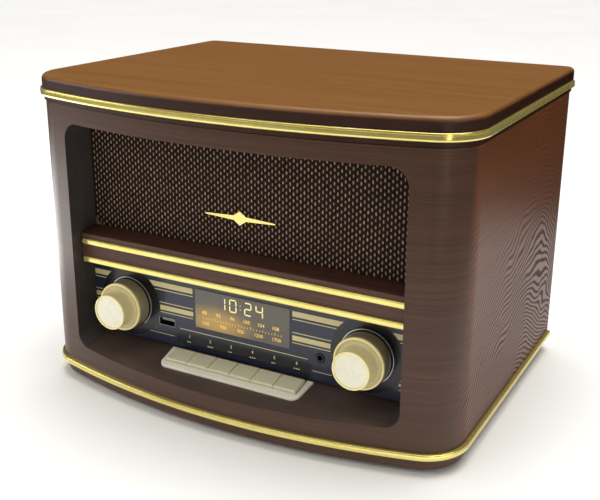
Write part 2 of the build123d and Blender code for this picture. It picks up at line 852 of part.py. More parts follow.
# ---------------------------------------------------------------- back panel
panel_rear = back_y - back_panel_inset
back_panel_front = panel_rear - back_panel_thickness
inlet_x = -105.0
inlet_z = 50.0
inlet_width = 24.0
inlet_height = 16.0
antenna_x = 128.0
antenna_z = 172.0
screw_points = [
    (-inner_half_width + 8, bottom_board_top + 8),
    (inner_half_width - 8, bottom_board_top + 8),
    (-inner_half_width + 8, 105),
    (inner_half_width - 8, 105),
    (-inner_half_width + 8, rear_rail_bottom - 8),
    (inner_half_width - 5, rear_rail_bottom - 5),
]
with BuildPart() as back_panel:
    box_between(
        (-inner_half_width + fit_gap, back_panel_front, bottom_board_top - bottom_board_thickness + fit_gap),
        (inner_half_width - fit_gap, panel_rear, rear_rail_bottom - fit_gap),
    )
    with BuildSketch(front_axis(0, 0, panel_rear)):
        with Locations((0, 110)):
            with GridLocations(12, 30, 14, 3):
                SlotOverall(22, 4, rotation=90)
        with Locations((inlet_x, inlet_z)):
            Rectangle(inlet_width + 2 * fit_gap, inlet_height + 2 * fit_gap)
        with Locations(*screw_points):
            Circle(1.6)
        with Locations((antenna_x, antenna_z)):
            Circle(3.0)
    extrude(amount=back_panel_thickness, mode=Mode.SUBTRACT)
save(back_panel.part, "back_panel")

with BuildPart() as back_screws:
    for x, z in screw_points:
        with Locations((x, panel_rear + 0.9, z)):
            Cylinder(3.0, 1.8, rotation=(90, 0, 0))
        with Locations((x, panel_rear - 2.5, z)):
            Cylinder(1.4, 6, rotation=(90, 0, 0))
        box_between((x - 2.2, panel_rear + 1.2, z - 0.4), (x + 2.2, panel_rear + 2, z + 0.4), Mode.SUBTRACT)
        box_between((x - 0.4, panel_rear + 1.2, z - 2.2), (x + 0.4, panel_rear + 2, z + 2.2), Mode.SUBTRACT)
save(back_screws.part, "back_screws")

with BuildPart() as mains_inlet:
    box_between(
        (inlet_x - inlet_width / 2, panel_rear - 16, inlet_z - inlet_height / 2),
        (inlet_x + inlet_width / 2, panel_rear, inlet_z + inlet_height / 2),
    )
    box_between(
        (inlet_x - inlet_width / 2 - 3, panel_rear, inlet_z - inlet_height / 2 - 3),
        (inlet_x + inlet_width / 2 + 3, panel_rear + 1.6, inlet_z + inlet_height / 2 + 3),
    )
    with BuildSketch(front_axis(inlet_x, inlet_z, panel_rear + 2)):
        SlotOverall(16, 9)
    extrude(amount=14, mode=Mode.SUBTRACT)
    for x in (inlet_x - 4.2, inlet_x + 4.2):
        with Locations((x, panel_rear - 7, inlet_z)):
            Cylinder(1.2, 11, rotation=(90, 0, 0))
save(mains_inlet.part, "mains_inlet")

# ---------------------------------------------------------------- folding antenna
mast_y = back_y + mast_offset
mast_radius = 3.0
mast_length = 190.0
tip_radius = 2.1
pivot_radius = 2.6
pivot_pin = 1.6
with BuildPart() as antenna_base:
    with Locations((antenna_x, panel_rear + 0.9, antenna_z)):
        Cylinder(8, 1.8, rotation=(90, 0, 0))
    with Locations((antenna_x, panel_rear - 2.6, antenna_z)):
        Cylinder(pivot_radius + 0.2, 5.2, rotation=(90, 0, 0))
    with BuildSketch(front_axis(antenna_x, antenna_z, panel_rear + 3)):
        Circle(pivot_pin + running_gap)
    extrude(amount=7, mode=Mode.SUBTRACT)
save(antenna_base.part, "antenna_base")

# the elbow turns on the base about Y and carries the mast between two cheeks
cheek_gap = 3.4
elbow_inner = panel_rear + 2.1
with BuildPart() as antenna_elbow:
    with Locations((antenna_x, (elbow_inner + mast_y - elbow_radius) / 2, antenna_z)):
        Cylinder(6.0, mast_y - elbow_radius - elbow_inner, rotation=(90, 0, 0))
    box_between(
        (antenna_x - 4, mast_y - elbow_radius - 0.5, antenna_z - 5.4),
        (antenna_x + 4, mast_y + elbow_radius, antenna_z + 5.4),
    )
    with Locations((antenna_x, elbow_inner - 2.6, antenna_z)):
        Cylinder(pivot_pin, 6, rotation=(90, 0, 0))
    box_between(
        (antenna_x - 10, mast_y - elbow_radius - 0.5, antenna_z - cheek_gap),
        (antenna_x + 10, mast_y + elbow_radius + 1, antenna_z + cheek_gap),
        Mode.SUBTRACT,
    )
    with Locations((antenna_x, mast_y, antenna_z)):
        Cylinder(1.2, 10, rotation=(0, 0, 0))
save(antenna_elbow.part, "antenna_elbow")

with BuildPart() as antenna_mast:
    with Locations((antenna_x, mast_y, antenna_z)):
        Cylinder(3.4, 2 * cheek_gap - 0.4)
    with Locations((antenna_x - mast_length / 2, mast_y, antenna_z)):
        Cylinder(mast_radius, mast_length, rotation=(0, 90, 0))
    with Locations((antenna_x, mast_y, antenna_z)):
        Cylinder(1.2 + running_gap, 12, mode=Mode.SUBTRACT)
    with Locations((antenna_x - mast_length / 2 - 8, mast_y, antenna_z)):
        Cylinder(tip_radius + running_gap, mast_length, rotation=(0, 90, 0), mode=Mode.SUBTRACT)
save(antenna_mast.part, "antenna_mast")

with BuildPart() as antenna_tip:
    with Locations((antenna_x - 10 - (mast_length - 8) / 2, mast_y, antenna_z)):
        Cylinder(tip_radius, mast_length - 8, rotation=(0, 90, 0))
    with Locations((antenna_x - mast_length - 5, mast_y, antenna_z)):
        Cylinder(mast_radius, 6, rotation=(0, 90, 0))
    fillet(antenna_tip.faces().sort_by(Axis.X)[0].edges(), 1.2)
save(antenna_tip.part, "antenna_tip")
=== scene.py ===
import json
import math
import bmesh
import bpy
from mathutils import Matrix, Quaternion, Vector

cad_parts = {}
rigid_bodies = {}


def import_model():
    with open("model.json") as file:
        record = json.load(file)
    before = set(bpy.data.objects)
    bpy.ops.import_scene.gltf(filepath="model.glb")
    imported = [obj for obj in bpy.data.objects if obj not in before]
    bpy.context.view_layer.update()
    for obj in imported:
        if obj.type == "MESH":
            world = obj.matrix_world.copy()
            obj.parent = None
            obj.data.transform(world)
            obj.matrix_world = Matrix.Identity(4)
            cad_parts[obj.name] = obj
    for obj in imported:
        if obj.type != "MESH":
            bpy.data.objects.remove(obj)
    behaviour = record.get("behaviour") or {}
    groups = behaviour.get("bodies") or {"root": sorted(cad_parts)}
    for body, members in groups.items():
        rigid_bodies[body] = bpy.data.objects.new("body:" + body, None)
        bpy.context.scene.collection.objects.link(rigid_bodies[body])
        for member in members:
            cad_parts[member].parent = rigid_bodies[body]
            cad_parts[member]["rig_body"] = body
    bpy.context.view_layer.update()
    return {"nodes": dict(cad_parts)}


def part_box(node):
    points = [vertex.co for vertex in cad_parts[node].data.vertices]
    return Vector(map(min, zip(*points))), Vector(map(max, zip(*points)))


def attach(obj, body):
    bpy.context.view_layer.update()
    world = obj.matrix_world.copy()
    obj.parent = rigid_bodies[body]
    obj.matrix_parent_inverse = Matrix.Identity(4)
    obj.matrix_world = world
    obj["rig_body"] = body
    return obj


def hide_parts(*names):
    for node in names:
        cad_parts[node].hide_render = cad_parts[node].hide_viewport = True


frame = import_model()
print("stage: frame loaded")

mm = 0.001


# Colours are given as a maker mixes them, 0 to 255, and turned to light values.
def paint(red, green, blue):
    def level(part):
        part = part / 255
        return part / 12.92 if part <= 0.04045 else ((part + 0.055) / 1.055) ** 2.4
    return (level(red), level(green), level(blue), 1.0)


class Wire:
    # One output of a node, with the usual arithmetic.
    tree = None

    def __init__(self, socket):
        self.socket = socket

    @classmethod
    def feed(cls, target, value):
        if isinstance(value, Wire):
            cls.tree.links.new(value.socket, target)
        else:
            target.default_value = value

    @classmethod
    def node(cls, kind, settings=None, inputs=None, output=0):
        fresh = cls.tree.nodes.new(kind)
        for name, value in (settings or {}).items():
            setattr(fresh, name, value)
        for name, value in (inputs or {}).items():
            cls.feed(fresh.inputs[name], value)
        return cls(fresh.outputs[output])

    @classmethod
    def maths(cls, operation, first, second=0.0, third=0.0):
        return cls.node("ShaderNodeMath", {"operation": operation}, {0: first, 1: second, 2: third})

    def __add__(self, other):
        return Wire.maths("ADD", self, other)

    def __radd__(self, other):
        return Wire.maths("ADD", other, self)

    def __sub__(self, other):
        return Wire.maths("SUBTRACT", self, other)

    def __rsub__(self, other):
        return Wire.maths("SUBTRACT", other, self)

    def __mul__(self, other):
        return Wire.maths("MULTIPLY", self, other)

    def __rmul__(self, other):
        return Wire.maths("MULTIPLY", other, self)

    def __lt__(self, other):
        return Wire.maths("LESS_THAN", self, other)

    def __abs__(self):
        return Wire.maths("ABSOLUTE", self)

    def hold(self):
        # Kept between 0 and 1.
        return Wire.node("ShaderNodeClamp", {}, {0: self})


def axesOf(vector):
    split = Wire.tree.nodes.new("ShaderNodeSeparateXYZ")
    Wire.feed(split.inputs[0], vector)
    return [Wire(split.outputs[i]) for i in range(3)]


def joined(x, y, z):
    return Wire.node("ShaderNodeCombineXYZ", {}, {0: x, 1: y, 2: z})


def place():
    return Wire.node("ShaderNodeTexCoord", output="Object")


def blendOf(share, first, second):
    # Colours mixed by a share of the second.
    mixer = Wire.tree.nodes.new("ShaderNodeMix")
    mixer.data_type = "RGBA"
    Wire.feed(mixer.inputs[0], share)
    Wire.feed(mixer.inputs[6], first)
    Wire.feed(mixer.inputs[7], second)
    return Wire(mixer.outputs[2])


def cloud(vector, size, detail=3.0, rough=0.5, warp=0.0):
    return Wire.node(
        "ShaderNodeTexNoise", {"noise_dimensions": "3D"},
        {"Vector": vector, "Scale": size, "Detail": detail, "Roughness": rough, "Distortion": warp},
    )


def stepped(value, low, high):
    # 0 at the low mark, 1 at the high mark, eased.
    return Wire.node(
        "ShaderNodeMapRange", {"interpolation_type": "SMOOTHSTEP"},
        {"Value": value, "From Min": low, "From Max": high},
    )


def band(value, low, high, soft=0.00008):
    return stepped(value, low - soft, low + soft) * (1.0 - stepped(value, high - soft, high + soft))


made = {}


def finish(name, recipe):
    # The recipe returns the shader's inputs, with an optional bump as (height, strength, reach).
    material = bpy.data.materials.new(name)
    material.use_nodes = True
    Wire.tree = material.node_tree
    shader = next(n for n in Wire.tree.nodes if n.type == "BSDF_PRINCIPLED")
    for socket, value in recipe().items():
        if socket == "bump":
            height, strength, reach = value
            bumped = Wire.node("ShaderNodeBump", {}, {"Height": height, "Strength": strength, "Distance": reach})
            Wire.feed(shader.inputs["Normal"], bumped)
        else:
            Wire.feed(shader.inputs[socket], value)
    made[name] = material
    return material


def woodRecipe(light, mid, dark, along, gloss):
    # Grain drawn out along the board; along holds the stretch for each axis.
    def recipe():
        x, y, z = axesOf(place())
        grain = joined(x * along[0], y * along[1], z * along[2])
        broad = cloud(grain, 1.0, 4.0, 0.55, 0.3)
        fine = cloud(grain, 5.5, 5.0, 0.7, 0.1)
        pores = cloud(joined(x * along[0] * 2.2, y * along[1] * 2.2, z * along[2] * 2.2), 9.0, 2.0, 0.6)
        tone = blendOf(stepped(broad, 0.32, 0.68), mid, light)
        tone = blendOf(stepped(fine, 0.42, 0.66) * 0.55, tone, dark)
        tone = blendOf(stepped(pores, 0.56, 0.72) * 0.45, tone, dark)
        rough = gloss + (fine * 0.12)
        return {
            "Base Color": tone, "Roughness": rough, "Specular IOR Level": 0.4,
            "bump": (fine * 0.7 + pores * 0.5, 0.12, 0.00025),
        }
    return recipe


def lidRecipe():
    # Golden on top, darker round the edge and below: one veneer, with painted light on the top and painted shade on
    # the edge.
    x, y, z = axesOf(place())
    grain = joined(x * 3.0, y * 190.0, z * 190.0)
    broad = cloud(grain, 1.0, 4.0, 0.5, 0.3)
    fine = cloud(grain, 4.0, 5.0, 0.7, 0.1)
    pores = cloud(joined(x * 14.0, y * 700.0, z * 700.0), 3.0, 2.0, 0.6)
    # Painted light: the top gets lighter golden tones than the same veneer elsewhere.
    top = blendOf(stepped(broad, 0.3, 0.7), paint(130, 86, 40), paint(142, 97, 50))
    top = blendOf(stepped(fine, 0.42, 0.7) * 0.35, top, paint(100, 62, 26))
    # Painted shade: the round-over and the veneer below it get darker tones than the top.
    edge = blendOf(stepped(broad, 0.3, 0.7), paint(46, 21, 10), paint(56, 27, 14))
    edge = blendOf(stepped(fine, 0.42, 0.7) * 0.4, edge, paint(40, 18, 8))
    # The step in height splits the painted-lit top from the painted-shaded edge.
    tone = blendOf(stepped(z, 0.2229, 0.22645), edge, top)
    tone = blendOf(stepped(pores, 0.58, 0.74) * 0.3, tone, paint(46, 22, 9))
    return {
        "Base Color": tone, "Roughness": 0.34 + fine * 0.1, "Specular IOR Level": 0.4,
        "bump": (fine * 0.7 + pores * 0.4, 0.08, 0.00025),
    }


finish("lidVeneer", lidRecipe)
finish("plinthWood", woodRecipe(paint(88, 60, 42), paint(76, 50, 34), paint(52, 33, 22), (5.0, 5.0, 420.0), 0.4))
finish("darkRail", woodRecipe(paint(88, 55, 41), paint(76, 46, 34), paint(52, 31, 22), (3.5, 60.0, 200.0), 0.4))


def bodyVeneer():
    # The front's wrap turns into the flat-sawn side behind the corner.
    x, y, z = axesOf(place())
    parts = []
    for stretch, light, mid, dark in (
        ((5.0, 5.0, 700.0), paint(78, 49, 31), paint(66, 40, 25), paint(44, 25, 14)),
        ((5.0, 6.0, 620.0), paint(112, 60, 24), paint(96, 50, 18), paint(60, 28, 9)),
    ):
        grain = joined(x * stretch[0], y * stretch[1], z * stretch[2])
        broad = cloud(grain, 1.0, 4.0, 0.55, 0.3)
        fine = cloud(grain, 2.6, 4.0, 0.7, 0.1)
        tone = blendOf(stepped(broad, 0.3, 0.7), mid, light)
        parts.append((blendOf(stepped(fine, 0.42, 0.68) * 0.45, tone, dark), fine))
    front, fineFront = parts[0]
    side, _ = parts[1]
    lift = cloud(joined(x * 2.0, y * 9.0, z * 11.0), 1.0, 2.5, 0.5) * 0.07
    ring = Wire.maths("SINE", (z * 0.8 + lift + (y - 0.04) * (y - 0.04) * 3.0) * 1900.0)
    broken = cloud(joined(x * 20.0, y * 60.0, z * 900.0), 1.0, 3.0, 0.6)
    # The figure is bold low down at the back and quiet towards the lid: the grain is real, its fading with height
    # is painted, following where the sheen shows it.
    sheenFade = stepped(z - y * 0.35, 0.05, 0.2)
    figure = stepped(ring + broken * 1.1, 0.25, 1.25) * (1.0 - sheenFade * 0.72)
    side = blendOf(figure * 0.8, side, paint(44, 20, 7))
    turn = stepped(abs(x), 0.1575, 0.1597)
    pores = cloud(joined(x * 9.0, y * 9.0, z * 480.0), 9.0, 2.0, 0.6)
    tone = blendOf(turn, front, side)
    tone = blendOf(stepped(pores, 0.56, 0.72) * 0.35, tone, paint(48, 28, 18))
    return {
        "Base Color": tone, "Roughness": 0.32 + fineFront * 0.1 + figure * turn * 0.3, "Specular IOR Level": 0.45,
        "bump": (fineFront * 0.7 + pores * 0.4 - figure * turn * 0.6, 0.1, 0.00025),
    }


finish("bodyVeneer", bodyVeneer)


def goldRecipe():
    haze = cloud(place(), 900.0, 3.0)
    wear = cloud(place(), 60.0, 4.0)
    return {
        "Base Color": blendOf(stepped(wear, 0.3, 0.7), paint(242, 224, 132), paint(246, 232, 146)),
        "Metallic": 0.76, "Roughness": 0.19 + haze * 0.03,
        "bump": (haze, 0.003, 0.0001),
    }


finish("goldTrim", goldRecipe)


def steelRecipe(tone, rough, metal=1.0):
    def recipe():
        haze = cloud(place(), 260.0, 3.0)
        return {
            "Base Color": blendOf(stepped(haze, 0.3, 0.7), tone, tuple(0.93 * c for c in tone[:3]) + (1.0,)),
            "Metallic": metal, "Roughness": rough + haze * 0.05, "bump": (haze, 0.01, 0.0001),
        }
    return recipe


finish("socketSteel", steelRecipe(paint(132, 134, 136), 0.3))
finish("speakerSteel", steelRecipe(paint(118, 120, 124), 0.38))
finish("chrome", steelRecipe(paint(222, 224, 226), 0.16, 0.62))


def plasticRecipe(tone, other, rough, grainSize=1400.0, depth=0.05, coat=0.0):
    def recipe():
        mottle = cloud(place(), 55.0, 3.0)
        grain = cloud(place(), grainSize, 2.0)
        return {
            "Base Color": blendOf(stepped(mottle, 0.3, 0.7), tone, other),
            "Roughness": rough + grain * 0.08, "Coat Weight": coat, "Coat Roughness": 0.1,
            "bump": (grain, depth, 0.00012),
        }
    return recipe


finish("blackPlastic", plasticRecipe(paint(28, 27, 27), paint(36, 34, 33), 0.42, 1600.0, 0.12))
finish("ivoryPlastic", plasticRecipe(paint(228, 224, 204), paint(233, 229, 210), 0.32, 1200.0, 0.02, 0.2))
finish("keyIvory", plasticRecipe(paint(204, 198, 168), paint(209, 203, 174), 0.3, 1200.0, 0.02, 0.2))


def knobRecipe():
    # Cream at the front, browner round the skirt: painted shade on the knob's shaded side.
    mottle = cloud(place(), 55.0, 3.0)
    y = axesOf(place())[1]
    cream = blendOf(stepped(mottle, 0.3, 0.7), paint(208, 193, 144), paint(214, 200, 153))
    # Painted shade: the skirt's darker tones stand in for the shadow on the knob's side.
    skirt = blendOf(stepped(mottle, 0.3, 0.7), paint(142, 128, 96), paint(149, 135, 102))
    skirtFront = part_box("tuning_knob")[0].y + 11.5 * mm
    return {
        "Base Color": blendOf(stepped(y, skirtFront + 0.5 * mm, skirtFront + 2.5 * mm), cream, skirt),
        "Roughness": 0.28 + mottle * 0.06, "Coat Weight": 0.3, "Coat Roughness": 0.1,
    }


finish("knobCream", knobRecipe)
finish("knobRim", plasticRecipe(paint(240, 226, 150), paint(244, 231, 160), 0.22, 900.0, 0.01, 0.5))
finish("ledgeBrown", plasticRecipe(paint(70, 56, 51), paint(76, 61, 55), 0.34, 900.0, 0.03))
finish("innerBlack", plasticRecipe(paint(56, 51, 49), paint(62, 56, 53), 0.4, 1500.0, 0.08))
finish("jackPlastic", plasticRecipe(paint(22, 22, 24), paint(30, 30, 32), 0.34))
finish("rubberFoot", plasticRecipe(paint(24, 23, 23), paint(33, 31, 31), 0.72, 1800.0, 0.2))
finish("ferrite", plasticRecipe(paint(50, 50, 53), paint(62, 62, 66), 0.55, 1000.0, 0.2))
finish("speakerPaper", plasticRecipe(paint(44, 41, 38), paint(58, 54, 50), 0.8, 2200.0, 0.3))
finish("paleInk", plasticRecipe(paint(226, 222, 176), paint(232, 228, 186), 0.5))


def pearlRecipe():
    swirl = cloud(place(), 120.0, 4.0, 0.6, 1.5)
    return {
        "Base Color": blendOf(stepped(swirl, 0.3, 0.7), paint(228, 223, 202), paint(236, 232, 212)),
        "Roughness": 0.3 + swirl * 0.08, "Coat Weight": 0.2, "Coat Roughness": 0.12,
    }


finish("pearlCap", pearlRecipe)


def boardRecipe():
    fibre = cloud(place(), 900.0, 4.0, 0.7)
    patch = cloud(place(), 40.0, 3.0)
    return {
        "Base Color": blendOf(stepped(fibre, 0.3, 0.7), paint(120, 88, 58), paint(150, 114, 78)),
        "Roughness": 0.75 + patch * 0.1, "bump": (fibre, 0.25, 0.0002),
    }


finish("fibreboard", boardRecipe)


def circuitRecipe():
    x, y, z = axesOf(place())
    tracks = Wire.node("ShaderNodeTexBrick", {}, {
        "Vector": joined(x, y + z, 0.0), "Scale": 160.0, "Mortar Size": 0.06,
        "Color1": paint(28, 74, 46), "Color2": paint(24, 66, 42), "Mortar": paint(46, 102, 62)})
    return {"Base Color": tracks, "Roughness": 0.35 + cloud(place(), 300.0) * 0.1}


finish("circuitBoard", circuitRecipe)


def clothRecipe():
    x, y, z = axesOf(place())
    over = Wire.maths("SINE", x * (2 * math.pi / 0.00086))
    under = Wire.maths("SINE", z * (2 * math.pi / 0.00078))
    weave = over * under
    slub = cloud(joined(x * 900.0, 0.0, z * 160.0), 1.0, 3.0, 0.6)
    tone = blendOf(stepped(weave, -0.8, 0.9), paint(28, 17, 12), paint(44, 29, 22))
    tone = blendOf(stepped(slub, 0.45, 0.75) * 0.4, tone, paint(58, 41, 32))
    return {
        "Base Color": tone, "Roughness": 0.85 + slub * 0.08, "Specular IOR Level": 0.1,
        "bump": (weave * 0.5 + slub * 0.4, 0.5, 0.0003),
    }


finish("grilleCloth", clothRecipe)


def yarnRecipe():
    x, y, z = axesOf(place())
    twist = Wire.maths("SINE", (x * 0.5 + z) * (2 * math.pi / 0.00055))
    tint = cloud(place(), 260.0, 2.0)
    tone = blendOf(stepped(tint, 0.35, 0.65), paint(138, 121, 103), paint(164, 146, 126))
    return {
        "Base Color": blendOf(stepped(twist, 0.2, 0.9) * 0.35, tone, paint(96, 78, 60)),
        "Roughness": 0.82 + tint * 0.1, "Specular IOR Level": 0.2, "bump": (twist, 0.3, 0.00012),
    }


finish("fleckYarn", yarnRecipe)


# Printed stripes of the control panel, as heights above the table.
panelPrint = {
    "stripes": ((0.0798, 0.0837), (0.0776, 0.0782), (0.0681, 0.0687), (0.0627, 0.0663), (0.0607, 0.0613)),
    "endStripes": ((0.0515, 0.0521), (0.0478, 0.0498), (0.0449, 0.0455)),
    "knobX": 0.0945, "knobZ": 0.0637, "knobClear": 0.0262,
    "displayEdge": 0.0398, "endEdge": 0.1168,
    "keyPitch": 0.01733, "numberZ": 0.0465, "markLow": 0.0421, "markHigh": 0.0428,
}


def panelRecipe():
    p = panelPrint
    x, y, z = axesOf(place())
    side = abs(x)
    away = Wire.maths("SQRT", (side - p["knobX"]) * (side - p["knobX"]) + (z - p["knobZ"]) * (z - p["knobZ"]))
    lines = sum((band(z, low, high) for low, high in p["stripes"]), 0.0)
    lines = lines * stepped(side, p["displayEdge"], p["displayEdge"] + 0.0001)
    ends = sum((band(z, low, high) for low, high in p["endStripes"]), 0.0)
    ends = ends * stepped(side, p["endEdge"], p["endEdge"] + 0.0001)
    under = band(z, 0.0512, 0.0517) * (1.0 - stepped(side, 0.0515, 0.0516))
    left = band(z, 0.0440, 0.0444) * band(x, -0.0785, -0.0565)
    right = band(z, 0.0437, 0.0441) * band(x, 0.055, 0.0696)
    ink = ((lines + ends) * stepped(away, p["knobClear"], p["knobClear"] + 0.0001) + under + left + right).hold()
    strip = band(z, 0.040, 0.0492, 0.0002) * (1.0 - stepped(side, 0.0535, 0.054))
    haze = cloud(place(), 500.0, 3.0)
    slate = blendOf(stepped(haze, 0.3, 0.7), paint(30, 35, 54), paint(37, 42, 61))
    slate = blendOf(strip * 0.8, slate, paint(14, 14, 17))
    slate = blendOf(1.0 - stepped(away, p["knobClear"] - 0.0006, p["knobClear"] - 0.0004), slate, paint(15, 14, 16))
    return {
        "Base Color": blendOf(ink, slate, paint(206, 194, 138)),
        "Roughness": 0.24 + haze * 0.05 + ink * 0.2, "Coat Weight": 0.2, "Coat Roughness": 0.08,
    }


finish("glossPanel", panelRecipe)


def windowRecipe():
    x, y, z = axesOf(place())
    # A warm lamp behind the glass, strongest low on the left.
    reach = Wire.maths("SQRT", (x + 0.020) * (x + 0.020) + (z - 0.062) * (z - 0.062) * 6.0)
    glow = 1.0 - stepped(reach, 0.004, 0.038)
    haze = cloud(place(), 400.0, 2.0)
    tone = blendOf(glow * 0.5, paint(84, 78, 68), paint(196, 156, 70))
    return {
        "Base Color": tone, "Roughness": 0.12 + haze * 0.05, "Coat Weight": 0.5, "Coat Roughness": 0.03,
        "Emission Color": blendOf(glow, paint(60, 54, 44), paint(226, 172, 60)), "Emission Strength": 0.22,
    }


finish("displayWindow", windowRecipe)


def digitRecipe():
    haze = cloud(place(), 600.0)
    tone = blendOf(stepped(haze, 0.3, 0.7), paint(226, 214, 140), paint(234, 222, 150))
    return {"Base Color": tone, "Roughness": 0.4, "Emission Color": tone, "Emission Strength": 0.55}


finish("litDigit", digitRecipe)


def amberRecipe():
    haze = cloud(place(), 600.0)
    tone = blendOf(stepped(haze, 0.3, 0.7), paint(240, 196, 84), paint(248, 208, 98))
    return {"Base Color": tone, "Roughness": 0.4, "Emission Color": tone, "Emission Strength": 0.4}


finish("litAmber", amberRecipe)
print("stage: finishes mixed")

finishOfSlot = {
    "walnut_cabinet": "bodyVeneer", "dark_rail": "darkRail", "gold_trim": "goldTrim",
    "black_plastic": "blackPlastic", "fibreboard": "fibreboard", "grille_fabric": "grilleCloth",
    "gloss_panel": "glossPanel", "display_window": "displayWindow", "display_module": "blackPlastic",
    "circuit_board": "circuitBoard", "ivory_plastic": "ivoryPlastic", "pearl_cap": "pearlCap",
    "socket_steel": "socketSteel", "jack_plastic": "jackPlastic", "rubber_foot": "rubberFoot",
    "speaker_steel": "speakerSteel", "speaker_paper": "speakerPaper", "magnet_ferrite": "ferrite",
    "antenna_chrome": "chrome",
}
finishOfNode = {
    "plinth": "plinthWood", "key_shelf": "ledgeBrown", "bottom_board": "fibreboard",
    "volume_knob": "knobCream", "tuning_knob": "knobCream", "lid_panel": "lidVeneer",
    "fascia_frame": "innerBlack",
}
for number in range(1, 7):
    finishOfNode[f"key_{number}"] = "keyIvory"


def slotOf(node):
    materials = frame["nodes"][node].data.materials
    return materials[0].name.split(".")[0] if materials and materials[0] else ""


slotNames = {name: slotOf(name) for name in frame["nodes"]}


def finishFor(node):
    return made[finishOfNode.get(node) or finishOfSlot[slotNames[node]]]


for name, cadNode in frame["nodes"].items():
    look = finishFor(name)
    cadNode.data.materials.clear()
    cadNode.data.materials.append(look)


def settle(piece, node, body=None):
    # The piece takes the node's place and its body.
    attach(piece, body or frame["nodes"][node]["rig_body"])
    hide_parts(node)
    return piece


def pieceFrom(name, points, faces, look, smooth=True, creaseAngle=38):
    mesh = bpy.data.meshes.new(name)
    mesh.from_pydata(points, [], faces)
    mesh.update()
    work = bmesh.new()
    work.from_mesh(mesh)
    bmesh.ops.recalc_face_normals(work, faces=work.faces)
    shadeEdges(work, creaseAngle if smooth else 0)
    work.to_mesh(mesh)
    work.free()
    mesh.materials.append(look)
    piece = bpy.data.objects.new(name, mesh)
    bpy.context.scene.collection.objects.link(piece)
    return piece


def shadeEdges(work, creaseAngle):
    for face in work.faces:
        face.smooth = creaseAngle > 0
    for edge in work.edges:
        if len(edge.link_faces) == 2:
            edge.smooth = edge.calc_face_angle(0.0) < math.radians(creaseAngle)


def finished(piece):
    # Modifiers are worked into a plain mesh and taken off.
    bpy.context.view_layer.update()
    shown = piece.evaluated_get(bpy.context.evaluated_depsgraph_get())
    mesh = bpy.data.meshes.new_from_object(shown)
    mesh.name = piece.name
    piece.modifiers.clear()
    piece.data = mesh
    return piece


# The cabinet's plan, read off the shell.
shellLow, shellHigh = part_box("cabinet_shell")
plan = {
    "half": shellHigh.x, "frontY": shellLow.y, "backY": shellHigh.y,
    "bow": 0.025, "corner": 0.030, "frontSteps": 72, "cornerSteps": 16, "sideSteps": 10,
}


def bowRadius():
    return (plan["half"] ** 2 + plan["bow"] ** 2) / (2 * plan["bow"])


def frontAt(x):
    # Where the bowed front lies at a distance from the middle.
    return plan["frontY"] + bowRadius() - math.sqrt(bowRadius() ** 2 - x * x)


def paintReveals(work):
    # The wood faces of the opening's cheeks take the dark inner finish and its ledge the dark brown one, and its
    # front edge is eased.
    depth = 0.8 * mm
    for face in work.faces:
        c, n = face.calc_center_median(), face.normal
        within = abs(c.x) < 0.1285 and frontAt(c.x) + depth < c.y < plan["backY"] - depth
        if within and abs(n.y) < 0.6 and shellLow.z + depth < c.z < shellHigh.z - depth:
            face.material_index = 2 if n.z > 0.5 else 1
    layer = work.edges.layers.float.get("bevel_weight_edge") or work.edges.layers.float.new("bevel_weight_edge")
    for edge in work.edges:
        kinds = {face.material_index for face in edge.link_faces}
        if len(kinds) == 2 and 0 in kinds and (edge.verts[0].co.y + edge.verts[1].co.y) / 2 < -0.104:
            edge[layer] = 1.0


# Nodes whose outline is already right keep it, with corners eased and shading smoothed.
def refined(node, easing=0.0, creaseAngle=34, clean=0.6, steps=3):
    work = bmesh.new()
    work.from_mesh(frame["nodes"][node].data)
    bmesh.ops.remove_doubles(work, verts=work.verts, dist=0.000004)
    bmesh.ops.dissolve_degenerate(work, edges=work.edges, dist=0.000002)
    if clean:
        bmesh.ops.dissolve_limit(
            work, angle_limit=math.radians(clean), verts=work.verts, edges=work.edges, delimit={"NORMAL"}
        )
    bmesh.ops.recalc_face_normals(work, faces=work.faces)
    shadeEdges(work, creaseAngle)
    if node == "cabinet_shell":
        paintReveals(work)
    mesh = bpy.data.meshes.new(node + "_skin")
    work.to_mesh(mesh)
    work.free()
    mesh.materials.append(finishFor(node))
    if node == "cabinet_shell":
        mesh.materials.append(made["innerBlack"])
        mesh.materials.append(made["ledgeBrown"])
    piece = bpy.data.objects.new(node + "_skin", mesh)
    bpy.context.scene.collection.objects.link(piece)
    if easing:
        bevel = piece.modifiers.new("ease", "BEVEL")
        bevel.width = easing * mm
        bevel.segments = steps
        bevel.limit_method = "WEIGHT" if node == "cabinet_shell" else "ANGLE"
        bevel.material = 0 if node == "cabinet_shell" else -1
        bevel.angle_limit = math.radians(40)
        bevel.use_clamp_overlap = True
        bevel.harden_normals = False
        bevel.miter_outer = "MITER_ARC"
    weighted = piece.modifiers.new("even", "WEIGHTED_NORMAL")
    weighted.keep_sharp = True
    weighted.weight = 60
    finished(piece)
    return settle(piece, node)


# Easing for each node, in millimetres; 0 keeps its own corners.
easings = {
    "cabinet_shell": 0.9, "plinth": 0.5, "feet": 0.4, "fascia_frame": 0.3, "divider_rail": 0.35,
    "key_shelf": 0.25, "control_panel": 0.2, "usb_socket": 0.15, "phones_jack": 0.2,
    "key_bezel": 0.0, "lcd_window": 0.2, "lcd_module": 0.2, "control_board": 0.15,
    "main_board": 0.15, "transformer": 0.3, "drive_chassis": 0.3, "deck_plate": 0.3,
    "disc_spindle": 0.15, "laser_sled": 0.15, "hinge_base_leaves": 0.15, "hinge_lid_leaves": 0.15,
    "back_panel": 0.3, "back_screws": 0.1, "mains_inlet": 0.25, "antenna_base": 0.3,
    "antenna_elbow": 0.2, "antenna_mast": 0.0, "antenna_tip": 0.0, "bottom_board": 0.3,
    "speaker_baffle": 0.3, "key_switch_board": 0.1,
    "grille_ornament": 0.18, "lid_panel": 0.0,
}
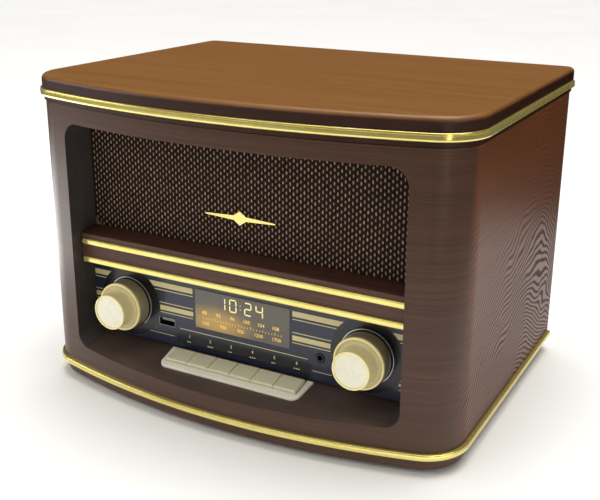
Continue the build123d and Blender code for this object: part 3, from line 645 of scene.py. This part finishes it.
for side in ("left", "right"):
    easings[f"{side}_speaker_basket"] = 0.2
    easings[f"{side}_speaker_cone"] = 0.0
    easings[f"{side}_speaker_magnet"] = 0.4
for side in ("volume", "tuning"):
    easings[f"{side}_dial_ring"] = 0.15
    easings[f"{side}_encoder"] = 0.15
    easings[f"{side}_shaft"] = 0.2
for number in range(1, 7):
    easings[f"key_{number}"] = 0.0
for node, easing in easings.items():
    refined(node, easing)
print("stage: nodes refined")


def planLine(grow, backAt):
    # Left rear to right rear round the front, as a list of points; it stops at backAt.
    p = plan
    bigRadius = bowRadius()
    centreY = p["frontY"] + bigRadius
    reach = bigRadius - p["corner"]
    cornerX = p["half"] - p["corner"]
    cornerY = centreY - math.sqrt(reach ** 2 - cornerX ** 2)
    swing = math.asin(cornerX / reach)
    right = []
    for i in range(1, p["frontSteps"] // 2 + 1):
        a = swing * 2 * i / p["frontSteps"]
        right.append((math.sin(a) * (bigRadius + grow), centreY - math.cos(a) * (bigRadius + grow)))
    for i in range(1, p["cornerSteps"] + 1):
        a = swing + (math.pi / 2 - swing) * i / p["cornerSteps"]
        right.append((cornerX + math.sin(a) * (p["corner"] + grow), cornerY - math.cos(a) * (p["corner"] + grow)))
    for i in range(1, p["sideSteps"] + 1):
        right.append((p["half"] + grow, cornerY + (backAt - cornerY) * i / p["sideSteps"]))
    return [(-x, y) for x, y in reversed(right)] + [(0.0, p["frontY"] - grow)] + right


def bandPiece(name, profile, backAt, look):
    # A moulding: the profile is a closed loop of (grow, height) carried along the plan.
    rows = [planLine(grow, backAt) for grow, _ in profile]
    count, loops = len(rows[0]), len(profile)
    points = [(x, y, profile[i][1]) for i, row in enumerate(rows) for x, y in row]
    faces = []
    for i in range(loops):
        j = (i + 1) % loops
        for k in range(count - 1):
            faces.append((i * count + k, i * count + k + 1, j * count + k + 1, j * count + k))
    faces.append([i * count for i in range(loops)])
    faces.append([i * count + count - 1 for i in reversed(range(loops))])
    return pieceFrom(name, points, faces, look, True, 40)


def rounded(low, high, inner, outer, radius, groove=0.32 * mm, steps=8):
    # A moulding's profile: flat inside, round outside, with one fine groove below the top bead.
    loop = [(inner, low), (outer - radius, low)]
    for i in range(1, steps + 1):
        a = math.pi / 2 * i / steps
        loop.append((outer - radius + math.sin(a) * radius, low + radius - math.cos(a) * radius))
    middle = high - radius * 0.62
    loop.append((outer, middle - groove * 1.5))
    loop += [(outer - groove, middle - groove * drop) for drop in (0.9, 0.5)]
    bead = radius * 0.55
    for i in range(steps + 1):
        a = math.pi / 2 * i / steps - 0.25
        height = high - bead + math.sin(a) * bead if a > 0 else middle
        loop.append((outer - groove * 0.3 - bead + math.cos(a) * bead, height))
    return loop + [(outer - bead - groove, high), (inner, high)]


for node, radius in (("lid_trim", 1.7 * mm), ("base_trim", 1.5 * mm)):
    low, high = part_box(node)
    proud = high.x - plan["half"]
    inner = -2.5 * mm
    trim = bandPiece(
        node + "_moulding", rounded(low.z, high.z, inner, proud, radius), high.y, made["goldTrim"]
    )
    settle(trim, node)
# The two straight rails carry the same moulding, with tapered ends.
rail = {"radius": 1.3 * mm, "groove": 0.28 * mm, "taper": 2.2 * mm, "endSteps": 6, "spans": 24, "tip": 0.04}
for node in ("upper_rail_bar", "lower_rail_bar"):
    low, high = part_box(node)
    deep = high.y - low.y
    profile = rounded(low.z, high.z, 0.0, deep, rail["radius"], rail["groove"])
    section = [(high.y - depth, z) for depth, z in profile]
    middleY, middleZ = high.y, (low.z + high.z) / 2
    taper, ends, spans = rail["taper"], rail["endSteps"], rail["spans"]
    insets = [taper * (1 - math.cos(math.pi / 2 * i / ends)) for i in range(ends + 1)]
    stations = [low.x + inset for inset in insets]
    stations += [low.x + (high.x - low.x) * i / spans for i in range(1, spans)]
    stations += [high.x - inset for inset in reversed(insets)]
    points, faces = [], []
    for x in stations:
        near = min(x - low.x, high.x - x, taper) / taper
        size = max(rail["tip"], math.sqrt(1 - (1 - near) ** 2))
        points += [(x, middleY + (y - middleY) * size, middleZ + (z - middleZ) * size) for y, z in section]
    count = len(section)
    for i in range(len(stations) - 1):
        for k in range(count):
            j = (k + 1) % count
            faces.append((i * count + k, i * count + j, (i + 1) * count + j, (i + 1) * count + k))
    faces.append(list(range(count)))
    faces.append([len(points) - count + k for k in reversed(range(count))])
    settle(pieceFrom(node + "_moulding", points, faces, made["goldTrim"], True, 40), node)


# The opening's corners are softly rounded from the front face inwards.
corners = {
    "half": 127.0 * mm, "sillFront": 28.0 * mm, "sillSlope": 0.2, "steps": 12, "tuck": 0.3 * mm, "sink": 0.02 * mm,
    "upperRadius": 12.5 * mm, "upperDeep": -0.0878, "lowerRadius": 9.5 * mm, "lowerDeep": -0.0921,
}


def openingCorners():
    half, steps, tuck, sink = corners["half"], corners["steps"], corners["tuck"], corners["sink"]
    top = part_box("grille_cloth")[1].z + 0.2 * mm

    def ledgeAt(y):
        return corners["sillFront"] + corners["sillSlope"] * (y - plan["frontY"])

    points, faces, kinds = [], [], []
    for side in (-1, 1):
        for level in ("upper", "lower"):
            upper, radius, deep = level == "upper", corners[level + "Radius"], corners[level + "Deep"]
            rings = []
            for atFront in (True, False):
                ring = []
                for i in range(steps + 1):
                    a = math.pi / 2 * i / steps
                    x = half - radius + math.cos(a) * radius
                    rise = radius - math.sin(a) * radius
                    y = frontAt(x) + sink if atFront else deep
                    z = top - rise if upper else ledgeAt(y) + rise
                    ring.append((side * x, y, z))
                y = frontAt(half) + sink if atFront else deep
                z = top + tuck if upper else ledgeAt(y) - tuck
                ring.append((side * (half + tuck), y, z))
                rings.append([len(points) + i for i in range(len(ring))])
                points += ring
            front, back = rings
            last = len(front) - 1
            for i in range(steps):
                faces.append((front[i], front[i + 1], back[i + 1], back[i]))
                kinds.append(1)
                faces.append((front[last], front[i + 1], front[i]))
                kinds.append(0)
                faces.append((back[last], back[i], back[i + 1]))
                kinds.append(1)
            faces.append((front[steps], front[last], back[last], back[steps]))
            faces.append((front[last], front[0], back[0], back[last]))
            kinds += [1, 1]
    piece = pieceFrom("opening_corners", points, faces, made["bodyVeneer"])
    piece.data.materials.append(made["innerBlack"])
    for face, kind in zip(piece.data.polygons, kinds):
        face.material_index = kind
    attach(piece, "cabinet")


openingCorners()
print("stage: mouldings swept")


# Knobs are turned about an axis that points out of the front.
def turnedPiece(name, x, z, profile, look, steps=128, close=False, creaseAngle=40, start=0.0, sweep=360.0):
    whole = sweep >= 360.0
    count = steps if whole else steps + 1
    points, rings = [], []
    for radius, y in profile:
        if radius < 1e-7:
            rings.append([len(points)])
            points.append((x, y, z))
            continue
        ring = []
        for i in range(count):
            a = math.radians(start + sweep * i / steps)
            ring.append(len(points))
            points.append((x + radius * math.cos(a), y, z + radius * math.sin(a)))
        rings.append(ring)
    faces = []
    pairs = list(zip(rings, rings[1:])) + ([(rings[-1], rings[0])] if close else [])
    for first, second in pairs:
        for i in range(steps):
            j = (i + 1) % count
            if len(first) == 1 and len(second) == 1:
                continue
            if len(first) == 1:
                faces.append((first[0], second[i], second[j]))
            elif len(second) == 1:
                faces.append((first[i], second[0], first[j]))
            else:
                faces.append((first[i], second[i], second[j], first[j]))
    if not whole and close:
        faces.append([ring[0] for ring in rings])
        faces.append([ring[-1] for ring in reversed(rings)])
    return pieceFrom(name, points, faces, look, True, creaseAngle)


def arcCorner(profile, steps=4):
    # Profile entries of (radius, y, ease) become points, with each eased corner rounded.
    out = []
    for i, (r, y, ease) in enumerate(profile):
        if not ease or i in (0, len(profile) - 1):
            out.append((r, y))
            continue
        here = Vector((r, y))
        before = Vector(profile[i - 1][:2]) - here
        after = Vector(profile[i + 1][:2]) - here
        a = here + before.normalized() * min(ease, before.length * 0.49)
        b = here + after.normalized() * min(ease, after.length * 0.49)
        for k in range(steps + 1):
            t = k / steps
            p = a * (1 - t) ** 2 + here * 2 * t * (1 - t) + b * t ** 2
            out.append((p.x, p.y))
    return out


for knobName in ("volume", "tuning"):
    low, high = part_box(f"{knobName}_knob")
    centre = (low + high) / 2
    outer = (high.x - low.x) / 2
    front, back = low.y, high.y
    capR = 12.9 * mm
    skirtY = front + 11.5 * mm
    body = f"{knobName}_control"
    x, z = centre.x, centre.z
    knobProfile = [
        (0.0, front + 1.5 * mm, 0), (capR - 1.45 * mm, front + 1.5 * mm, 0),
        (capR - 1.45 * mm, front + 0.5 * mm, 0.1 * mm),
        (capR - 0.3 * mm, front + 0.35 * mm, 0.3 * mm), (capR - 0.1 * mm, front + 1.6 * mm, 0.3 * mm),
        (capR + 0.25 * mm, skirtY - 0.7 * mm, 1.0 * mm), (capR + 1.6 * mm, skirtY + 1.05 * mm, 0.8 * mm),
        (outer - 1.9 * mm, skirtY + 0.5 * mm, 0.4 * mm), (outer - 1.5 * mm, skirtY + 0.2 * mm, 0.1 * mm),
        (outer - 0.35 * mm, skirtY + 0.2 * mm, 0.3 * mm), (outer, skirtY + 0.9 * mm, 0.4 * mm),
        (outer, back, 0.3 * mm), (outer - 2.0 * mm, back, 0.1 * mm), (outer - 2.0 * mm, skirtY + 3.4 * mm, 0),
        (5.5 * mm, skirtY + 3.4 * mm, 0), (5.5 * mm, back - 0.2 * mm, 0), (3.05 * mm, back - 0.2 * mm, 0),
        (3.05 * mm, front + 2.5 * mm, 0), (0.0, front + 2.5 * mm, 0),
    ]
    knob = turnedPiece(f"{knobName}_knob_turned", x, z, arcCorner(knobProfile), made["knobCream"])
    settle(knob, f"{knobName}_knob")
    for label, rimIn, rimOut, rimY in (
        ("cap_rim", capR - 1.35 * mm, capR - 0.05 * mm, front),
        ("skirt_rim", outer - 1.6 * mm, outer - 0.15 * mm, skirtY),
    ):
        rimProfile = [
            (rimIn, rimY + 0.9 * mm, 0), (rimIn, rimY + 0.02 * mm, 0.35 * mm),
            ((rimIn + rimOut) / 2, rimY, 0.3 * mm),
            (rimOut, rimY + 0.02 * mm, 0.45 * mm), (rimOut, rimY + 0.9 * mm, 0),
        ]
        rim = turnedPiece(f"{knobName}_{label}", x, z, arcCorner(rimProfile), made["knobRim"], close=True)
        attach(rim, body)
    capLow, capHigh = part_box(f"{knobName}_knob_cap")
    capOuter = (capHigh.x - capLow.x) / 2
    capProfile = [(0.0, capLow.y)]
    for i in range(1, 15):
        t = i / 14
        capProfile.append((capOuter * t, capLow.y + 0.42 * mm * t ** 2.4))
    capProfile += [(capOuter, capHigh.y), (0.0, capHigh.y)]
    cap = turnedPiece(f"{knobName}_knob_face", x, z, capProfile, made["pearlCap"])
    settle(cap, f"{knobName}_knob_cap")
    # A thin bright arc on the dial ring, open at the bottom.
    ringLow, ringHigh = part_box(f"{knobName}_dial_ring")
    arcR = (ringHigh.x - ringLow.x) / 2 - 0.75 * mm
    arcProfile = [
        (arcR - 0.28 * mm, ringLow.y + 0.1 * mm), (arcR - 0.28 * mm, ringLow.y - 0.04 * mm),
        (arcR, ringLow.y - 0.09 * mm),
        (arcR + 0.28 * mm, ringLow.y - 0.04 * mm), (arcR + 0.28 * mm, ringLow.y + 0.1 * mm),
    ]
    arc = turnedPiece(f"{knobName}_dial_arc", x, z, arcProfile, made["chrome"], 96, True, 40, -50.0, 280.0)
    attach(arc, "cabinet")
print("stage: knobs turned")


# Lettering is generic numbers only; the curve becomes a mesh before it is placed.
def numberPiece(name, text, height, x, y, z, look):
    curve = bpy.data.curves.new(name, "FONT")
    curve.body = text
    curve.size = 1.0
    curve.align_x = "CENTER"
    curve.align_y = "CENTER"
    curve.extrude = 0.5
    curve.resolution_u = 2
    holder = bpy.data.objects.new(name, curve)
    bpy.context.scene.collection.objects.link(holder)
    bpy.context.view_layer.update()
    mesh = bpy.data.meshes.new_from_object(holder.evaluated_get(bpy.context.evaluated_depsgraph_get()))
    bpy.data.objects.remove(holder)
    size, thick = height * 1.35, 0.06 * mm
    for v in mesh.vertices:
        v.co = (x + v.co.x * size, y - v.co.z * thick, z + v.co.y * size)
    mesh.materials.clear()
    mesh.materials.append(look)
    piece = bpy.data.objects.new(name, mesh)
    bpy.context.scene.collection.objects.link(piece)
    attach(piece, "cabinet")


windowLow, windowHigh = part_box("lcd_window")
faceY = windowLow.y
display = {
    "clock": ((-0.0155, "1"), (-0.0065, "0"), (0.0055, "2"), (0.0145, "4")),
    "clockZ": windowHigh.z - 7.2 * mm, "digitHeight": 8.8 * mm, "digitWidth": 5.0 * mm, "stroke": 0.9 * mm,
}
segmentsOf = {"0": "abcdef", "1": "bc", "2": "abdeg", "4": "bcfg"}


def clockDigits():
    d = display
    half, tall, w = d["digitWidth"] / 2, d["digitHeight"] / 2, d["stroke"] / 2
    points, faces = [], []

    def bar(x1, z1, x2, z2):
        along = Vector((x2 - x1, z2 - z1)).normalized()
        side = Vector((-along.y, along.x))
        a, b = Vector((x1, z1)) + along * w * 0.35, Vector((x2, z2)) - along * w * 0.35
        outline = [a, a + along * w + side * w, b - along * w + side * w]
        outline += [b, b - along * w - side * w, a + along * w - side * w]
        base = len(points)
        for y in (faceY - 0.05 * mm, faceY + 0.1 * mm):
            points.extend((p.x, y, p.y) for p in outline)
        faces.append([base + i for i in range(6)])
        faces.append([base + 11 - i for i in range(6)])
        for i in range(6):
            j = (i + 1) % 6
            faces.append((base + i, base + j, base + 6 + j, base + 6 + i))

    spots = {
        "a": (-half, tall, half, tall), "b": (half, tall, half, 0), "c": (half, 0, half, -tall),
        "d": (-half, -tall, half, -tall), "e": (-half, 0, -half, -tall), "f": (-half, tall, -half, 0),
        "g": (-half, 0, half, 0),
    }
    for x, digit in d["clock"]:
        for segment in segmentsOf[digit]:
            x1, z1, x2, z2 = spots[segment]
            bar(x + x1, d["clockZ"] + z1, x + x2, d["clockZ"] + z2)
    for dz in (-1.4 * mm, 1.4 * mm):
        bar(-0.0006 - w, d["clockZ"] + dz, -0.0006 + w, d["clockZ"] + dz + 0.00001)
    digits = pieceFrom("clock_digits", points, faces, made["litDigit"], False)
    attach(digits, "cabinet")


clockDigits()

# Two tuning scales of plain numbers; start, pitch, rise and height in millimetres.
for prefix, marks, start, pitch, rise, height in (
    ("scale", ("88", "92", "96", "100", "104", "108"), -30, 11.4, 12.2, 2.9),
    ("lower_scale", ("530", "700", "900", "1200", "1700"), -29, 14.2, 4.2, 2.7),
):
    for i, mark in enumerate(marks):
        x, z = (start + i * pitch) * mm, windowLow.z + rise * mm
        numberPiece(f"{prefix}_{mark}", mark, height * mm, x, faceY + 0.01 * mm, z, made["litAmber"])


def flatBars(name, bars, look):
    # Small printed bars, each (lowest corner, highest corner).
    points, faces = [], []
    for (x1, y1, z1), (x2, y2, z2) in bars:
        base = len(points)
        points += [(x, y, z) for y in (y1, y2) for x, z in ((x1, z1), (x2, z1), (x2, z2), (x1, z2))]
        faces += [
            (base, base + 1, base + 2, base + 3), (base + 7, base + 6, base + 5, base + 4),
            (base, base + 4, base + 5, base + 1), (base + 1, base + 5, base + 6, base + 2),
            (base + 2, base + 6, base + 7, base + 3), (base + 3, base + 7, base + 4, base),
        ]
    piece = pieceFrom(name, points, faces, look, False)
    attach(piece, "cabinet")


ticks = []
tickZ = windowLow.z + 7.3 * mm
for i in range(27):
    x = (-31 + i * 2.4) * mm
    tall = 1.9 * mm if i % 4 == 0 else 1.2 * mm
    ticks.append(((x - 0.16 * mm, faceY - 0.03 * mm, tickZ), (x + 0.16 * mm, faceY + 0.08 * mm, tickZ + tall)))
flatBars("scale_ticks", ticks, made["litAmber"])
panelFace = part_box("control_panel")[0].y
p = panelPrint
for i in range(6):
    x = (i - 2.5) * p["keyPitch"]
    name, ink = f"key_number_{i + 1}", made["paleInk"]
    numberPiece(name, str(i + 1), 2.5 * mm, x, panelFace, p["numberZ"], ink)
marks = []
for i in range(6):
    for k in range(3 if i % 2 else 2):
        x = (i - 2.5) * p["keyPitch"] + (k - 1) * 1.7 * mm
        low = (x - 0.5 * mm, panelFace - 0.05 * mm, p["markLow"])
        high = (x + 0.5 * mm, panelFace + 0.05 * mm, p["markHigh"])
        marks.append((low, high))
flatBars("key_marks", marks, made["paleInk"])
print("stage: display and print")


# Raised flecks of the cloth, staggered in rows.
def clothFlecks():
    low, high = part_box("grille_cloth")
    settings = {
        "columnPitch": 5.24 * mm, "rowPitch": 4.4 * mm, "fleckWide": 1.15 * mm, "fleckTall": 2.5 * mm,
        "fleckDeep": 0.5 * mm, "corner": 9.0 * mm, "edge": 1.1 * mm,
    }
    tree = bpy.data.node_groups.new("cloth flecks", "GeometryNodeTree")
    tree.interface.new_socket("Geometry", in_out="OUTPUT", socket_type="NodeSocketGeometry")
    sockets = {}
    for label in ("columnPitch", "rowPitch", "fleckWide", "fleckTall", "fleckDeep"):
        sockets[label] = tree.interface.new_socket(label, in_out="INPUT", socket_type="NodeSocketFloat").identifier
    Wire.tree = tree
    source = tree.nodes.new("NodeGroupInput")
    given = {s.name: Wire(s) for s in source.outputs if s.name}
    wide, tall = high.x - low.x, high.z - low.z
    columns = int(wide / settings["columnPitch"])
    rows = int(tall / settings["rowPitch"])
    middleX, middleZ = (low.x + high.x) / 2, (low.z + high.z) / 2
    join = tree.nodes.new("GeometryNodeJoinGeometry")
    for shift in (0.25, -0.25):
        grid = Wire.node("GeometryNodeMeshGrid", {}, {
            "Size X": given["columnPitch"] * float(columns - 1), "Size Y": given["rowPitch"] * float(rows - 1),
            "Vertices X": columns, "Vertices Y": rows})
        moved = Wire.node("GeometryNodeTransform", {}, {
            "Geometry": grid, "Rotation": (math.pi / 2, 0.0, 0.0),
            "Translation": joined(
                given["columnPitch"] * shift + middleX, low.y + 0.00002, given["rowPitch"] * shift + middleZ)})
        tree.links.new(moved.socket, join.inputs[0])
    drift = Wire.node("FunctionNodeRandomValue", {"data_type": "FLOAT_VECTOR"}, {
        0: (-0.12 * mm, 0.0, -0.16 * mm), 1: (0.12 * mm, 0.0, 0.16 * mm), "Seed": 4})
    nudged = Wire.node("GeometryNodeSetPosition", {}, {"Geometry": Wire(join.outputs[0]), "Offset": drift})
    x, y, z = axesOf(Wire.node("GeometryNodeInputPosition"))
    # Points inside the rounded opening only.
    overX = Wire.maths("MAXIMUM", abs(x - middleX) - (wide / 2 - settings["corner"]), 0.0)
    overZ = Wire.maths("MAXIMUM", abs(z - middleZ) - (tall / 2 - settings["corner"]), 0.0)
    inside = Wire.maths("SQRT", overX * overX + overZ * overZ) < (settings["corner"] - settings["edge"])
    bead = Wire.node("GeometryNodeMeshUVSphere", {}, {"Segments": 8, "Rings": 5, "Radius": 0.5})
    soft = Wire.node("GeometryNodeSetShadeSmooth", {}, {"Geometry": bead})
    spread = Wire.node("FunctionNodeRandomValue", {"data_type": "FLOAT_VECTOR"}, {
        0: (0.86, 1.0, 0.84), 1: (1.1, 1.0, 1.12), "Seed": 9})
    size = Wire.node("ShaderNodeVectorMath", {"operation": "MULTIPLY"}, {
        0: spread, 1: joined(given["fleckWide"], given["fleckDeep"], given["fleckTall"])})
    lean = Wire.node("FunctionNodeRandomValue", {"data_type": "FLOAT_VECTOR"}, {
        0: (0.0, -0.12, 0.0), 1: (0.0, 0.12, 0.0), "Seed": 2})
    placed = Wire.node("GeometryNodeInstanceOnPoints", {}, {
        "Points": nudged, "Selection": inside, "Instance": soft, "Scale": size, "Rotation": lean})
    solid = Wire.node("GeometryNodeRealizeInstances", {}, {"Geometry": placed})
    coloured = Wire.node("GeometryNodeSetMaterial", {}, {"Geometry": solid, "Material": made["fleckYarn"]})
    sink = tree.nodes.new("NodeGroupOutput")
    tree.links.new(coloured.socket, sink.inputs[0])
    piece = bpy.data.objects.new("cloth_flecks", bpy.data.meshes.new("cloth_flecks"))
    bpy.context.scene.collection.objects.link(piece)
    grower = piece.modifiers.new("flecks", "NODES")
    grower.node_group = tree
    for label, socket in sockets.items():
        grower[socket] = settings[label]
    finished(piece)
    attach(piece, "cabinet")


clothFlecks()
print("stage: cloth")


# Room, lights and camera.
def ground():
    # A round paper floor that curves up far away. Only the part near the radio shows in its polish.
    sides, nearEdge = 96, 0.52

    def sheet(rings):
        points = []
        for r, z in rings:
            for i in range(sides):
                c, s = math.cos(2 * math.pi * i / sides), math.sin(2 * math.pi * i / sides)
                reach = 1.0 + 0.75 * max(0.0, -c * 0.8 - s * 0.6) ** 2 if r < 1.0 else 1.0
                points.append((r * reach * c, r * reach * s, z))
        faces = []
        for k in range(len(rings) - 1):
            for i in range(sides):
                j = (i + 1) % sides
                faces.append((k * sides + i, (k + 1) * sides + i, (k + 1) * sides + j, k * sides + j))
        return points, faces

    nearRings = [(0.002, 0.0), (0.2, 0.0), (0.4, 0.0), (nearEdge, 0.0)]
    farRings = [(nearEdge, 0.0), (1.5, 0.0), (4.0, 0.0), (8.0, 0.0)]
    turns = [math.pi / 2 * i / 10 for i in range(1, 11)]
    farRings += [(8.0 + 2.5 * math.sin(a), 2.5 - 2.5 * math.cos(a)) for a in turns]
    farRings.append((10.5, 6.0))

    def paperRecipe():
        tone = blendOf(stepped(cloud(place(), 3.0), 0.2, 0.8), paint(243, 243, 242), paint(247, 247, 246))
        return {"Base Color": tone, "Roughness": 0.8, "Specular IOR Level": 0.1}

    paper = finish("paperFloor", paperRecipe)
    pieceFrom("paper_floor", *sheet(nearRings), paper, True, 60)
    far = pieceFrom("far_paper", *sheet(farRings), paper, True, 60)
    far.visible_glossy = False


def softbox(name, place, target, width, height, power, warmth=(1.0, 1.0, 1.0)):
    lamp = bpy.data.lights.new(name, "AREA")
    lamp.shape = "RECTANGLE"
    lamp.size, lamp.size_y = width, height
    lamp.energy = power
    lamp.color = warmth
    holder = bpy.data.objects.new(name, lamp)
    holder.visible_camera = False
    holder.location = place
    holder.rotation_euler = (Vector(target) - Vector(place)).to_track_quat("-Z", "Y").to_euler()
    bpy.context.scene.collection.objects.link(holder)


def overhead(power, spread):
    lamp = bpy.data.lights.new("overhead", "SUN")
    lamp.energy = power
    lamp.angle = math.radians(spread)
    lamp.color = (1.0, 0.985, 0.96)
    holder = bpy.data.objects.new("overhead", lamp)
    holder.location = (0, 0, 3)
    holder.rotation_euler = (math.radians(-9), math.radians(4), 0)
    bpy.context.scene.collection.objects.link(holder)


ground()
overhead(2.3, 50)
softbox("key light", (-0.7, -1.5, 1.6), (0, 0, 0.1), 1.2, 0.9, 6, (1.0, 0.98, 0.95))
softbox("top light", (0.0, 0.3, 1.6), (0, 0.05, 0.1), 1.4, 1.0, 6, (1.0, 0.98, 0.95))
softbox("right fill", (1.7, -0.5, 0.8), (0, 0, 0.12), 0.8, 1.0, 3.4)
softbox("corner card", (1.05, -1.0, 0.25), (0.14, -0.1, 0.12), 0.14, 1.0, 1.8, (1.0, 0.9, 0.78))
softbox("left card", (-0.9, -0.5, 0.4), (-0.1, -0.05, 0.1), 0.5, 0.4, 2)
softbox("floor patch", (-0.46, -0.08, 0.012), (-0.4, -0.08, 0.5), 0.36, 0.5, 1.7)

world = bpy.data.worlds.new("studio")
world.use_nodes = True
world.node_tree.nodes["Background"].inputs[0].default_value = (1.0, 1.0, 1.0, 1.0)
world.node_tree.nodes["Background"].inputs[1].default_value = 0.24
bpy.context.scene.world = world
world.cycles_visibility.glossy = False

camera = {
    "place": (0.3182, -0.5947, 0.3263), "aim": (-0.4538, 0.8354, -0.3101),
    "roll": 0.33, "lens": 56.66, "shiftX": 0.0003, "shiftY": -0.0312,
}
lens = bpy.data.cameras.new("camera")
lens.lens = camera["lens"]
lens.sensor_width = 36
lens.shift_x, lens.shift_y = camera["shiftX"], camera["shiftY"]
lens.clip_start, lens.clip_end = 0.02, 30
viewer = bpy.data.objects.new("camera", lens)
viewer.location = camera["place"]
viewer.rotation_mode = "QUATERNION"
rolled = Quaternion((0, 0, 1), math.radians(camera["roll"]))
viewer.rotation_quaternion = Vector(camera["aim"]).to_track_quat("-Z", "Y") @ rolled
bpy.context.scene.collection.objects.link(viewer)
bpy.context.scene.camera = viewer
bpy.context.scene.view_settings.view_transform = "Standard"
print("stage: room")

print("stage: done")
